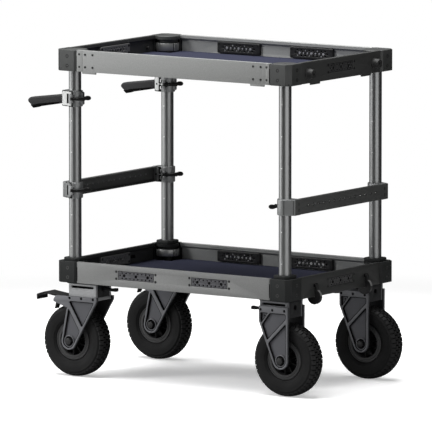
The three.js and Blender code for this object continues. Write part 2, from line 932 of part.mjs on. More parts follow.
function clampOutline(faceHalfFront, faceHalfBack) {
  const front = tangentAngle(clampOuter, -faceHalfFront, 0, 0, clampRadius, -1);
  const back = tangentAngle(clampOuter, faceHalfBack, 0, 0, clampRadius, 1);
  return [
    [clampOuter, -faceHalfFront],
    [clampOuter, faceHalfBack],
    ...arc(0, 0, clampRadius, back, front + fullTurn, clampArcSteps),
  ];
}

// Ears that hold a cam lever's root, on the inner front of the jaw.
function leverEars() {
  const low = leverThickness / 2 + seatGap;
  return [-1, 1].map((side) => {
    const z0 = Math.min(side * low, side * (low + clampEarHeight));
    const z1 = z0 + clampEarHeight;
    const ear = postZ(clampEarRadius, z0, z1, clampEarSides, -leverPivotX, -leverPivotY);
    const x0 = -leverPivotX - clampEarRadius;
    const x1 = clampEarRadius - leverPivotX;
    const web = box(x0, x1, -leverPivotY, -mastRadius - mastWall, z0, z1);
    return ear.add(web);
  });
}

function clampJaw(faceHalfFront, faceHalfBack) {
  const half = clampHeight / 2;
  const end = half + cutOverrun;
  const body = prismZ(clampOutline(faceHalfFront, faceHalfBack), -half, half);
  const slit = box(-clampSlitReach - cutOverrun, -mastRadius, -clampSlit / 2, clampSlit / 2, -end, end);
  return body.subtract(mastBore(-end, end)).subtract(slit);
}

// Cam lever, drawn with its pin on the Z axis, in the clamp's directions
function camLever() {
  const dx = leverPivotX - leverTipX;
  const dy = leverPivotY - leverTipY;
  const heading = THREE.MathUtils.radToDeg(Math.atan2(dy, dx));
  const outline = [
    ...arc(0, 0, leverRootHalf, heading + 90, heading + 270, leverTipSteps),
    ...arc(dx, dy, leverTipHalf, heading - 90, heading + 90, leverTipSteps),
  ];
  return prismZ(outline, -leverThickness / 2, leverThickness / 2);
}

// Push handles

function handleClamp() {
  return union(clampJaw(handlePlateHalf, handlePlateHalf), ...leverEars());
}

// Grip, drawn from the mast axis with its length along +X
function grip() {
  const root = clampOuter + seatGap + gripRound;
  const outline = shapeOf([
    [root, gripRootBottom + gripRound],
    [gripPadX - gripRound, gripPadZ + gripRound],
    [gripHeelX - gripRound, gripHeelZ + gripRound],
    [gripNoseX - gripRound, gripNoseZ],
    [gripTopX - gripRound, gripTopZ - gripRound],
    [root, gripRootTop - gripRound],
  ]);
  const width = 2 * (gripHalfWidth - gripRound);
  const geometry = new THREE.ExtrudeGeometry(outline, {
    depth: width,
    bevelEnabled: true,
    bevelThickness: gripRound,
    bevelSize: gripRound,
    bevelSegments: gripRoundSteps,
  });
  return solid(geometry.rotateX(Math.PI / 2).translate(0, width / 2, 0));
}

// Mid rails, drawn with the outer face at +X between masts at y = -mastY and y = mastY

function midRailChannel() {
  const end = mastY + midRailOver;
  const outer = clampOuter;
  const inner = clampOuter - midRailDepth;
  const half = midRailHeight / 2;
  const profile = [
    [inner, half],
    [inner, half - midRailWall],
    [outer - midRailWall, half - midRailWall],
    [outer - midRailWall, midRailWall - half],
    [inner, midRailWall - half],
    [inner, -half],
    [outer - midRailRound, -half],
    [outer, midRailRound - half],
    [outer, half - midRailRound],
    [outer - midRailRound, half],
  ];
  return prismY(profile, -end, end);
}

function midRail() {
  const jaw = clampJaw(midRailOver, clampRadius);
  const front = union(jaw, ...leverEars()).translate([0, -mastY, 0]);
  const back = union(jaw.mirror([0, 1, 0]), ...leverEars()).translate([0, mastY, 0]);
  const bore = mastBore(-clampHeight, clampHeight);
  const body = union(midRailChannel(), front, back)
    .subtract(bore.translate([0, -mastY, 0]))
    .subtract(bore.translate([0, mastY, 0]));
  const inner = clampOuter - midRailDepth;
  const first = -((midRailHoleCount - 1) * midRailHolePitch) / 2;
  const outer = clampOuter + cutOverrun;
  return Array.from({ length: midRailHoleCount }, (_, i) => first + i * midRailHolePitch).reduce(
    (rest, y) => rest.subtract(postX(midRailHoleRadius, inner, outer, midRailHoleSides, y, midRailHoleRise)),
    body,
  );
}

// Tray knob, drawn with its shaft along X and its face to +X
function trayKnob() {
  const profile = [
    [0, -knobShaftLength],
    [knobShaftRadius, -knobShaftLength],
    [knobShaftRadius, seatGap],
    [knobBaseRadius, seatGap],
    [knobBaseRadius, knobBaseHeight],
    [knobWaistRadius, knobBaseHeight + seatGap],
    [knobFaceRadius, knobHeight],
    [knobRecessRadius, knobHeight],
    [knobRecessRadius, knobHeight - knobRecessDepth],
    [0, knobHeight - knobRecessDepth],
  ].map(([r, x]) => new THREE.Vector2(r, x));
  return solid(new THREE.LatheGeometry(profile, knobSegments).rotateZ(-Math.PI / 2));
}

// Base release lever, drawn with its pin along Y at the origin and the rail's outer face at x = railWeb / 2.
// Its disc turns upright in XZ, outside the rail and below it.
function releaseLever() {
  const face = railWeb / 2 + releaseFaceGap;
  const under = releasePivotDrop - railHeight - releaseUnderGap;
  const centre = [0, releasePivotDrop - railHeight];
  const inner = THREE.MathUtils.radToDeg(Math.asin(releaseUnderGap / releaseDiscRadius));
  const shoulder = THREE.MathUtils.degToRad(releaseShoulderAngle);
  const outline = [
    [0, releaseHubRadius],
    [0, -releaseHubRadius],
    [face, -releaseHubRadius],
    [face, under],
    ...arc(...centre, releaseDiscRadius, fullTurn / 2 + inner, fullTurn + releaseNeckAngle, releaseDiscSteps),
    [face + releaseNeckWidth, releaseNeckRise],
    [releaseHubRadius * Math.cos(shoulder), releaseHubRadius * Math.sin(shoulder)],
  ];
  const pinHalf = releaseSlotHalf - seatGap;
  const pin = postY(releaseHubRadius, -pinHalf, pinHalf, releaseHubSides);
  return prismY(outline, -releaseHalfWidth, releaseHalfWidth).add(pin);
}

// Assembly

function addMasts(cart) {
  for (const { tag, sx, sy } of corners) {
    const tube = part("mast_" + tag, mast(), finishes.mast);
    tube.position.set(sx * mastX, sy * mastY, 0);
    cart.add(tube);
  }
}

function addCorners(shelf, prefix, body) {
  for (const { tag, sx, sy } of corners) {
    const casting = part(prefix + "_corner_" + tag, body, finishes.casting);
    casting.position.set(sx * mastX, sy * mastY, 0);
    casting.scale.set(sx, sy, 1);
    shelf.add(casting);
  }
}

function addRails(shelf, prefix, front, back, left, right) {
  const y = mastY + railFace;
  const x = mastX + railFace;
  const sides = [
    { tag: "front", body: front, finish: finishes.silverRail, at: [0, -y], turn: Math.PI },
    { tag: "back", body: back, finish: finishes.silverRail, at: [0, y], turn: 0 },
    { tag: "left", body: left, finish: finishes.darkRail, at: [-x, 0], turn: Math.PI / 2 },
    { tag: "right", body: right, finish: finishes.darkRail, at: [x, 0], turn: -Math.PI / 2 },
  ];
  for (const { tag, body, finish, at, turn } of sides) {
    const rail = part(prefix + "_rail_" + tag, body, finish);
    rail.position.set(at[0], at[1], 0);
    rail.rotation.z = turn;
    shelf.add(rail);
  }
}

function topShelf() {
  const shelf = new THREE.Group();
  shelf.position.z = topShelfTop;
  addRails(shelf, "top", topFrontRail(), topBackRail(), topEndRail(), topEndRail());
  addCorners(shelf, "top", topCorner());
  shelf.add(part("top_floor", shelfFloor(), finishes.floor));
  for (const { tag, sx, sy } of corners) {
    const knob = part("tray_knob_" + tag, trayKnob(), finishes.blackSteel);
    knob.position.set(sx * (mastX + railFace), sy * knobOffsetY, -knobDrop);
    knob.rotation.z = sx > 0 ? 0 : Math.PI;
    shelf.add(knob);
  }
  return shelf;
}

function baseShelf() {
  const shelf = new THREE.Group();
  shelf.position.z = baseShelfTop;
  const ends = [baseEndRail(releaseOffsetBraked), baseEndRail(releaseOffsetPlain)];
  addRails(shelf, "base", baseLongRail(), baseLongRail(), ...ends);
  addCorners(shelf, "base", baseCorner());
  shelf.add(part("base_floor", shelfFloor(), finishes.floor));
  for (const { tag, sx, sy } of corners) {
    const lever = part("release_lever_" + tag, releaseLever(), finishes.blackSteel);
    const offset = sx < 0 ? releaseOffsetBraked : releaseOffsetPlain;
    lever.position.set(sx * (mastX + railFace - railWeb / 2), sy * offset, -releasePivotDrop);
    lever.rotation.z = sx > 0 ? 0 : Math.PI;
    shelf.add(lever);
  }
  return shelf;
}

function wheelSet(tag, kind) {
  const wheel = new THREE.Group();
  wheel.position.set(-kind.trail, 0, wheelRadius);
  wheel.add(part("wheel_rim_" + tag, rim(), finishes.rim));
  wheel.add(part("tyre_" + tag, tyre(), finishes.tyre));
  return wheel;
}

function caster(tag, sx, sy) {
  const kind = sx < 0 ? braked : plain;
  const group = new THREE.Group();
  group.position.set(sx * (mastX - casterInsetX), sy * (mastY - casterInsetY), 0);
  group.rotation.z = sx < 0 ? 0 : Math.PI;
  group.add(part("caster_fork_" + tag, fork(kind), finishes.fork));
  group.add(wheelSet(tag, kind));
  const lock = part("swivel_lock_" + tag, lockLever(), finishes.blackSteel);
  lock.position.set(crownHalfLength - lockPivotInset, 0, crownBottom + kind.lockRise);
  group.add(lock);
  if (kind === braked) {
    const brake = part("brake_pedal_" + tag, pedal(), finishes.blackSteel);
    brake.position.set(-pedalPivotX, 0, crownBottom);
    group.add(brake);
  }
  return group;
}

// Cam lever of a clamp at the left end (sx = -1) or, turned half round, at the right end.
function clampLever(name, sx) {
  const lever = part(name, camLever(), finishes.blackSteel);
  lever.position.set(-sx * leverPivotX, sx * leverPivotY, 0);
  lever.scale.set(sx, -sx, 1);
  return lever;
}

function pushHandle(tag, sy) {
  const handle = new THREE.Group();
  handle.position.set(-mastX, sy * mastY, handleHeight);
  const clamp = part("handle_clamp_" + tag, handleClamp(), finishes.clamp);
  clamp.scale.x = -1;
  handle.add(clamp);
  const hold = part("handle_grip_" + tag, grip(), finishes.grip);
  hold.scale.x = -1;
  handle.add(hold);
  handle.add(clampLever("handle_lever_" + tag, -1));
  return handle;
}

function midRailSet(tag, sx) {
  const set = new THREE.Group();
  set.position.set(sx * mastX, 0, midRailCentre);
  const rail = part("mid_rail_" + tag, midRail(), finishes.midRail);
  rail.scale.set(sx, -sx, 1);
  set.add(rail);
  for (const [end, sy] of [["front", -1], ["back", 1]]) {
    const at = new THREE.Group();
    at.position.y = sy * mastY;
    at.add(clampLever("mid_lever_" + end + "_" + tag, sx));
    set.add(at);
  }
  return set;
}

function buildCart() {
  const cart = new THREE.Group();
  addMasts(cart);
  cart.add(topShelf(), baseShelf());
  for (const { tag, sx, sy } of corners) cart.add(caster(tag, sx, sy));
  cart.add(pushHandle("front", -1), pushHandle("back", 1));
  cart.add(midRailSet("left", -1), midRailSet("right", 1));
  return cart;
}

// The origin lies on the floor under the middle of the whole cart, handles and wheels included.
function centredOnFloor(cart) {
  const bounds = new THREE.Box3().setFromObject(cart, true);
  const middle = bounds.getCenter(new THREE.Vector3());
  cart.position.set(-middle.x, -middle.y, -bounds.min.z);
  const root = new THREE.Group();
  root.add(cart);
  return root;
}

const cameraCart = centredOnFloor(buildCart());

export default cameraCart;
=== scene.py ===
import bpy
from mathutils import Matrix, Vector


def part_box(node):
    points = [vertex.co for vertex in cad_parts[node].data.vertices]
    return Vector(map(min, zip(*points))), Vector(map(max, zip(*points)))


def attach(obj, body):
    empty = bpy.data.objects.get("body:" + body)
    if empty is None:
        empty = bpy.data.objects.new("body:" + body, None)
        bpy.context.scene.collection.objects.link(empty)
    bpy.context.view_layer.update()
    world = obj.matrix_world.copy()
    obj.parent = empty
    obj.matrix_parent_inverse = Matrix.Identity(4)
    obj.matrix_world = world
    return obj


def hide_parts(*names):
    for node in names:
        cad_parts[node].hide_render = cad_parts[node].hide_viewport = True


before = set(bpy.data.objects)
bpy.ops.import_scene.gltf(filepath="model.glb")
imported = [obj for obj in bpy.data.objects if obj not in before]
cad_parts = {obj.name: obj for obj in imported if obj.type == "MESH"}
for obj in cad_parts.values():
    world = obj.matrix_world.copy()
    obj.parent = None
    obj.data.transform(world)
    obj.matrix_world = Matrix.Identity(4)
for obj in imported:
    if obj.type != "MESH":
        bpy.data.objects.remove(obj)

"""Looks of a two-shelf camera cart.

Sizes are in millimetres and heights are measured from the floor. Each piece is built in the
cart's own frame, whose origin is midway between the four masts, and is then moved to the CAD's.
"""
import logging
import math
from dataclasses import dataclass
from enum import Enum
from typing import Iterable, Optional, Sequence

import bmesh
import bpy
from mathutils import Matrix, Vector

Point = tuple[float, float]
Outline = Sequence[Point]
Numbers = tuple[float, ...]
Place = tuple[float, float, float]
Colour = tuple[float, float, float]
Tree = bpy.types.NodeTree
Socket = bpy.types.NodeSocket

LOG = logging.getLogger("cart")
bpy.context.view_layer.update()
MM = 0.001
HALF = 0.5
SIDES = (-1, 1)
QUARTER = 90.0
HALF_CIRCLE = 180.0
CIRCLE = 360.0
FULL_TURN = 2 * math.pi
SHARP_ANGLE = math.radians(32)
WELD = 0.002
FINE = 3
MAST_X = 393.0
MAST_Y = 256.0
TOP_SHELF = 1035.0
BASE_SHELF = 370.0
LEVER_LEFT = 110.0
LEVER_RIGHT = 143.0
NOISE_LOW = 0.3
NOISE_HIGH = 0.7
PATCH_SHARE = 0.2


class Axis(Enum):
    """Direction in which an outline is given its thickness."""

    X = "X"
    Y = "Y"
    Z = "Z"


class Surface(Enum):
    """Kind of fine relief on a finish."""

    BEAD_BLAST = "bead_blast"
    SATIN = "satin"
    POLISHED = "polished"
    MOULDED = "moulded"
    RUBBER = "rubber"
    WOVEN = "woven"


@dataclass(frozen=True)
class Relief:
    """Fine relief of a kind of surface: scales in cells per metre, strengths and spreads."""

    grain: float
    bump: float
    depth: float
    mottle: float
    patch: float
    rough_spread: float


RELIEFS: dict[Surface, Relief] = {
    Surface.BEAD_BLAST: Relief(420.0, 0.22, 0.0004, 0.16, 3.0, 0.03),
    Surface.SATIN: Relief(500.0, 0.10, 0.0003, 0.08, 6.0, 0.04),
    Surface.POLISHED: Relief(900.0, 0.02, 0.00002, 0.04, 3.0, 0.02),
    Surface.MOULDED: Relief(900.0, 0.15, 0.0003, 0.10, 12.0, 0.06),
    Surface.RUBBER: Relief(700.0, 0.25, 0.0004, 0.20, 14.0, 0.08),
    Surface.WOVEN: Relief(520.0, 0.40, 0.0006, 0.20, 5.0, 0.05),
}


def add_node(
    tree: Tree,
    kind: str,
    values: Optional[dict[str, object]] = None,
    operation: str = "",
) -> bpy.types.Node:
    """Add a shader node.

    Args:
        tree: The node tree that takes it.
        kind: Its type, without the words that all shader nodes share.
        values: Values of its inputs, by name.
        operation: What a math node does.

    Returns:
        The node.
    """
    node = tree.nodes.new("ShaderNode" + kind)
    if operation:
        node.operation = operation
    for name, value in (values or {}).items():
        node.inputs[name].default_value = value
    return node


@dataclass(frozen=True)
class Finish:
    """One procedural finish.

    Args:
        name: Name of the material.
        colour: Linear base colour.
        roughness: Mean roughness.
        metallic: 0 for paint, plastic and rubber, up to 1 for bare metal.
        surface: Kind of fine relief.
        slot: The record's material slot that it belongs to; not used here.
        gloss: Specular level.
    """

    name: str
    colour: Colour
    roughness: float
    metallic: float
    surface: Surface
    slot: str
    gloss: float = 0.5

    def material(self) -> bpy.types.Material:
        """Build the node tree once and return the material.

        Returns:
            The material, made on the first call and found again on later ones.
        """
        title = "look_" + self.name
        made = bpy.data.materials.get(title)
        if made:
            return made
        made = bpy.data.materials.new(title)
        made.use_nodes = True
        tree, relief = made.node_tree, RELIEFS[self.surface]
        link = tree.links.new
        shader = tree.nodes["Principled BSDF"]
        shader.inputs["Metallic"].default_value = self.metallic
        shader.inputs["Specular IOR Level"].default_value = self.gloss
        grain, patch = self._noise(tree, relief.grain), self._noise(tree, relief.patch)
        link(self._mottled(tree, grain, patch), shader.inputs["Base Color"])
        low, high = self.roughness - relief.rough_spread, self.roughness + relief.rough_spread
        link(self._spread(tree, patch, low, high), shader.inputs["Roughness"])
        bump = add_node(tree, "Bump", {"Strength": relief.bump, "Distance": relief.depth})
        link(grain, bump.inputs["Height"])
        link(bump.outputs["Normal"], shader.inputs["Normal"])
        return made

    def _noise(self, tree: Tree, scale: float) -> Socket:
        """Add a noise texture that is fixed to the piece.

        Args:
            tree: The material's node tree.
            scale: Cells per metre.

        Returns:
            Its value socket.
        """
        node = add_node(tree, "TexNoise", {"Scale": scale})
        tree.links.new(add_node(tree, "TexCoord").outputs["Object"], node.inputs["Vector"])
        return node.outputs["Fac"]

    def _spread(self, tree: Tree, value: Socket, low: float, high: float) -> Socket:
        """Map a noise value onto a range.

        Args:
            tree: The material's node tree.
            value: The noise's socket.
            low: Lower end of the range.
            high: Upper end.

        Returns:
            The socket with the mapped value.
        """
        ends = {"From Min": NOISE_LOW, "From Max": NOISE_HIGH, "To Min": low, "To Max": high}
        node = add_node(tree, "MapRange", ends)
        tree.links.new(value, node.inputs["Value"])
        return node.outputs["Result"]

    def _mottled(self, tree: Tree, grain: Socket, patch: Socket) -> Socket:
        """Vary the base colour with grain and larger patches.

        Args:
            tree: The material's node tree.
            grain: Socket of the fine noise.
            patch: Socket of the large noise.

        Returns:
            The socket with the colour.
        """
        mottle = RELIEFS[self.surface].mottle
        shift = mottle * PATCH_SHARE
        blend = add_node(tree, "Math", operation="ADD")
        fine = self._spread(tree, grain, -mottle * HALF, mottle * HALF)
        coarse = self._spread(tree, patch, 1 - shift, 1 + shift)
        for value, socket in zip((fine, coarse), blend.inputs):
            tree.links.new(value, socket)
        scaled = add_node(tree, "VectorMath", operation="SCALE")
        scaled.inputs[0].default_value = self.colour
        tree.links.new(blend.outputs[0], scaled.inputs["Scale"])
        return scaled.outputs["Vector"]


BLAST, SATIN, POLISHED = Surface.BEAD_BLAST, Surface.SATIN, Surface.POLISHED
MOULDED, RUBBER, WOVEN = Surface.MOULDED, Surface.RUBBER, Surface.WOVEN

SILVER_RAIL = Finish("silver_rail", (0.27, 0.275, 0.27), 0.50, 0.35, BLAST, "silver_rail")
GREY_RAIL = Finish("grey_rail", (0.205, 0.208, 0.205), 0.52, 0.35, BLAST, "silver_rail")
BACK_RAIL = Finish("back_rail", (0.30, 0.305, 0.30), 0.52, 0.35, BLAST, "silver_rail")
# back_rail_low is a darker copy of back_rail for the lower shelf: painted shade under the upper
# shelf.
BACK_RAIL_LOW = Finish("back_rail_low", (0.27, 0.275, 0.27), 0.52, 0.35, BLAST, "silver_rail")
# end_rail is a lighter copy of dark_rail for the upper shelf's end rails: painted light, standing
# for the floor bounce they lack.
END_RAIL = Finish("end_rail", (0.062, 0.063, 0.062), 0.50, 0.3, BLAST, "dark_rail", 0.4)
DARK_RAIL = Finish("dark_rail", (0.036, 0.037, 0.036), 0.50, 0.3, BLAST, "dark_rail", 0.4)
PLATE = Finish("plate", (0.06, 0.06, 0.066), 0.42, 0.3, SATIN, "dark_rail")
PLATE_END = Finish("plate_end", (0.050, 0.050, 0.051), 0.38, 0.2, SATIN, "dark_rail")
PLATE_BLACK = Finish("plate_black", (0.011, 0.011, 0.0115), 0.40, 0.1, SATIN, "dark_rail")
# plate_inner is a lighter copy of the plate paint for the left rails' inner plates: painted light
# where the lamps do not reach.
PLATE_INNER = Finish("plate_inner", (0.15, 0.15, 0.15), 0.45, 0.2, SATIN, "dark_rail")
CASTING = Finish("casting", (0.058, 0.060, 0.059), 0.46, 0.2, SATIN, "casting", 0.4)
CASTING_DARK = Finish("casting_dark", (0.019, 0.0202, 0.020), 0.55, 0.0, SATIN, "casting", 0.15)
COLLAR = Finish("casting_collar", (0.36, 0.365, 0.36), 0.40, 0.8, POLISHED, "casting")
MAST_METAL = Finish("mast_metal", (0.275, 0.28, 0.28), 0.345, 0.9, POLISHED, "mast")
# Bright dots for the masts' index holes: painted highlights of their lit edges.
MAST_DOT = Finish("mast_dot", (0.72, 0.72, 0.71), 0.4, 0.2, MOULDED, "mast")
LINING = Finish("lining", (0.022, 0.024, 0.045), 0.92, 0.0, WOVEN, "floor", 0.2)
# Near-black: painted shade in holes, slots, seams, pockets and on the jaws' flanks, and also the
# forks' small screws and the jaws' dark marks.
HOLE_DARK = Finish("hole_dark", (0.003, 0.003, 0.003), 0.8, 0.0, SATIN, "black_steel", 0.1)
# Near-black: screws, and painted shade in the mid rails' countersinks.
SCREW_DARK = Finish("screw_dark", (0.006, 0.006, 0.006), 0.4, 0.0, SATIN, "black_steel", 0.3)
SCREW_BLOCK = Finish("screw_block", (0.030, 0.030, 0.030), 0.34, 0.3, SATIN, "black_steel")
# Bright polished metal: the right mid rail's inserts, and painted light in the holes of the back
# plates.
INSERT_AND_HOLE_LIGHT = Finish("insert_and_hole_light", (0.75, 0.75, 0.74), 0.3, 0.9, POLISHED, "mast")
FORK_METAL = Finish("fork_metal", (0.125, 0.127, 0.136), 0.42, 0.35, SATIN, "fork")
# fork_dark is a darker copy of fork_metal: painted shade on the legs' inner sides and on the
# crown's block between the cheeks.
FORK_DARK = Finish("fork_dark", (0.012, 0.0125, 0.0135), 0.48, 0.2, SATIN, "fork", 0.3)
FORK_PANEL = Finish("fork_panel", (0.078, 0.079, 0.088), 0.5, 0.3, SATIN, "fork")
CROWN_METAL = Finish("crown_metal", (0.31, 0.315, 0.32), 0.46, 0.45, BLAST, "fork")
RIM_DARK = Finish("rim_dark", (0.036, 0.036, 0.0365), 0.5, 0.2, MOULDED, "rim", 0.4)
# Near-black hub and web inside the rim: painted shade.
WEB_BLACK = Finish("rim_web", (0.0035, 0.0035, 0.0035), 0.6, 0.0, MOULDED, "rim", 0.2)
TYRE_RUBBER = Finish("tyre_rubber", (0.0065, 0.0065, 0.0067), 0.72, 0.0, RUBBER, "tyre", 0.22)
TREAD_RUBBER = Finish("tread_rubber", (0.0122, 0.0122, 0.0125), 0.6, 0.0, RUBBER, "tyre", 0.24)
# Near-black floor between the tread blocks: painted shade.
TREAD_GROOVE = Finish("tread_groove", (0.0015, 0.0015, 0.0015), 0.9, 0.0, RUBBER, "tyre", 0.05)
CLAMP_METAL = Finish("clamp_metal", (0.25, 0.255, 0.256), 0.40, 0.6, SATIN, "clamp")
CLAMP_PALE = Finish("clamp_pale", (0.20, 0.205, 0.205), 0.42, 0.4, SATIN, "clamp")
CLAMP_SILVER = Finish("clamp_silver", (0.62, 0.63, 0.62), 0.45, 0.1, MOULDED, "clamp")
BLACK_STEEL = Finish("black_steel", (0.007, 0.007, 0.007), 0.34, 0.2, MOULDED, "black_steel", 0.4)
LEVER_GREY = Finish("lever_grey", (0.014, 0.014, 0.0145), 0.42, 0.2, MOULDED, "black_steel", 0.4)
PEDAL_BLACK = Finish("pedal_black", (0.008, 0.008, 0.0078), 0.6, 0.0, MOULDED, "black_steel", 0.2)
KNOB_GREY = Finish("knob_grey", (0.030, 0.030, 0.030), 0.55, 0.0, MOULDED, "black_steel", 0.3)
# Pale polished grey: the cam levers' rivets, and a painted highlight on the release levers' rims.
EDGE_GREY = Finish("edge_grey", (0.24, 0.24, 0.24), 0.4, 0.4, POLISHED, "black_steel")
MID_RAIL = Finish("mid_rail_metal", (0.085, 0.087, 0.085), 0.46, 0.3, SATIN, "mid_rail", 0.4)
GRIP_SOFT = Finish("grip_soft", (0.034, 0.034, 0.035), 0.66, 0.0, MOULDED, "grip", 0.12)
GRIP_PAD = Finish("grip_pad", (0.002, 0.002, 0.002), 0.8, 0.0, MOULDED, "grip", 0.05)


def circle(
    cx: float,
    cy: float,
    radius: float,
    steps: int = 24,
    start: float = 0.0,
    sweep: float = CIRCLE,
) -> list[Point]:
    """Return points on a circle or an arc.

    Args:
        cx: Middle, in the first direction.
        cy: Middle, in the second direction.
        radius: Radius.
        steps: Number of segments.
        start: Angle of the first point, in degrees.
        sweep: Angle of the arc, in degrees.

    Returns:
        The points, without a second one at the start of a whole circle.
    """
    count = steps if abs(sweep) >= CIRCLE else steps + 1
    angles = [math.radians(start + sweep * i / steps) for i in range(count)]
    return [(cx + radius * math.cos(a), cy + radius * math.sin(a)) for a in angles]


def rounded(
    cx: float, cy: float, width: float, height: float, radius: float, steps: int = 4
) -> list[Point]:
    """Return a rectangle with rounded corners.

    Args:
        cx: Middle, in the first direction.
        cy: Middle, in the second direction.
        width: Size in the first direction.
        height: Size in the second direction.
        radius: Radius of the corners.
        steps: Segments in each corner.

    Returns:
        The outline.
    """
    dx, dy = width * HALF - radius, height * HALF - radius
    corners = ((dx, dy, 0), (-dx, dy, QUARTER), (-dx, -dy, HALF_CIRCLE), (dx, -dy, -QUARTER))
    return [
        point
        for x, y, start in corners
        for point in circle(cx + x, cy + y, radius, steps, start, QUARTER)
    ]


def rectangle(x0: float, x1: float, y0: float, y1: float) -> list[Point]:
    """Return the four corners of a rectangle."""
    return [(x0, y0), (x1, y0), (x1, y1), (x0, y1)]


def soften(points: Outline, radius: float, steps: int = 3) -> list[Point]:
    """Round every corner of a polygon with a quadratic curve.

    Args:
        points: The polygon.
        radius: How far from the corner each curve starts, at most.
        steps: Segments in each curve.

    Returns:
        The rounded outline.
    """
    out: list[Point] = []
    for i, here in enumerate(points):
        corner = Vector(here)
        before = Vector(points[i - 1]) - corner
        after = Vector(points[(i + 1) % len(points)]) - corner
        start = corner + before.normalized() * min(radius, before.length * HALF)
        end = corner + after.normalized() * min(radius, after.length * HALF)
        for k in range(steps + 1):
            t = k / steps
            at = start * (1 - t) ** 2 + corner * 2 * t * (1 - t) + end * t**2
            out.append((at.x, at.y))
    return out


def left_of(points: Outline, start: Point, end: Point, distance: float) -> list[Point]:
    """Keep the part of a convex outline that lies to the left of a line.

    Args:
        points: The outline.
        start: Where the line starts.
        end: A second point on it.
        distance: How far from the line the part that is kept begins.

    Returns:
        The outline of the part.
    """
    line = Vector(end) - Vector(start)
    depths = [
        (line.x * (v - start[1]) - line.y * (u - start[0])) / line.length - distance
        for u, v in points
    ]
    out: list[Point] = []
    for i, here in enumerate(points):
        after = (i + 1) % len(points)
        if depths[i] >= 0:
            out.append(here)
        if (depths[i] < 0) != (depths[after] < 0):
            share = depths[i] / (depths[i] - depths[after])
            crossing = Vector(here).lerp(Vector(points[after]), share)
            out.append((crossing.x, crossing.y))
    return out


def inset(points: Outline, distance: float) -> list[Point]:
    """Move every edge of a convex anticlockwise outline inwards.

    Args:
        points: The outline, without repeated points.
        distance: How far the edges move.

    Returns:
        The smaller outline.
    """
    rest = list(points)
    for start, end in zip(points, [*points[1:], points[0]]):
        rest = left_of(rest, start, end, distance)
    return rest


def heading(start: Point, degrees: float) -> Point:
    """Return a second point on the line that leaves a point at an angle."""
    angle = math.radians(degrees)
    return (start[0] + math.cos(angle), start[1] + math.sin(angle))


def tangent(point: Point, middle: Point, radius: float, side: int) -> float:
    """Find where a line from a point touches a circle.

    Args:
        point: The point.
        middle: The circle's middle.
        radius: Its radius.
        side: 1 or -1, for one or the other of the two lines.

    Returns:
        The angle of the touching point about the middle, in degrees.
    """
    dx, dy = point[0] - middle[0], point[1] - middle[1]
    spread = math.acos(radius / math.hypot(dx, dy))
    return math.degrees(math.atan2(dy, dx) + side * spread)


def signed_area(points: Outline) -> float:
    """Return twice the area of a polygon, positive when it runs anticlockwise."""
    return sum(a[0] * b[1] - b[0] * a[1] for a, b in zip(points, [*points[1:], points[0]]))


def span(side: int, near: float, far: float) -> Point:
    """Return the two ends of a stretch on one side of the middle, the lower one first."""
    low, high = sorted((side * near, side * far))
    return (low, high)


def moved(x: float = 0.0, y: float = 0.0, z: float = 0.0) -> Matrix:
    """Return the matrix of a shift."""
    return Matrix.Translation((x, y, z))


def spun(angle: float, axis: Axis = Axis.Z) -> Matrix:
    """Return the matrix of a turn, with the angle in radians."""
    return Matrix.Rotation(angle, 4, axis.value)


@dataclass(frozen=True)
class Seat:
    """The body that pieces ride on and their place in the cart's frame."""

    body: str
    place: Matrix


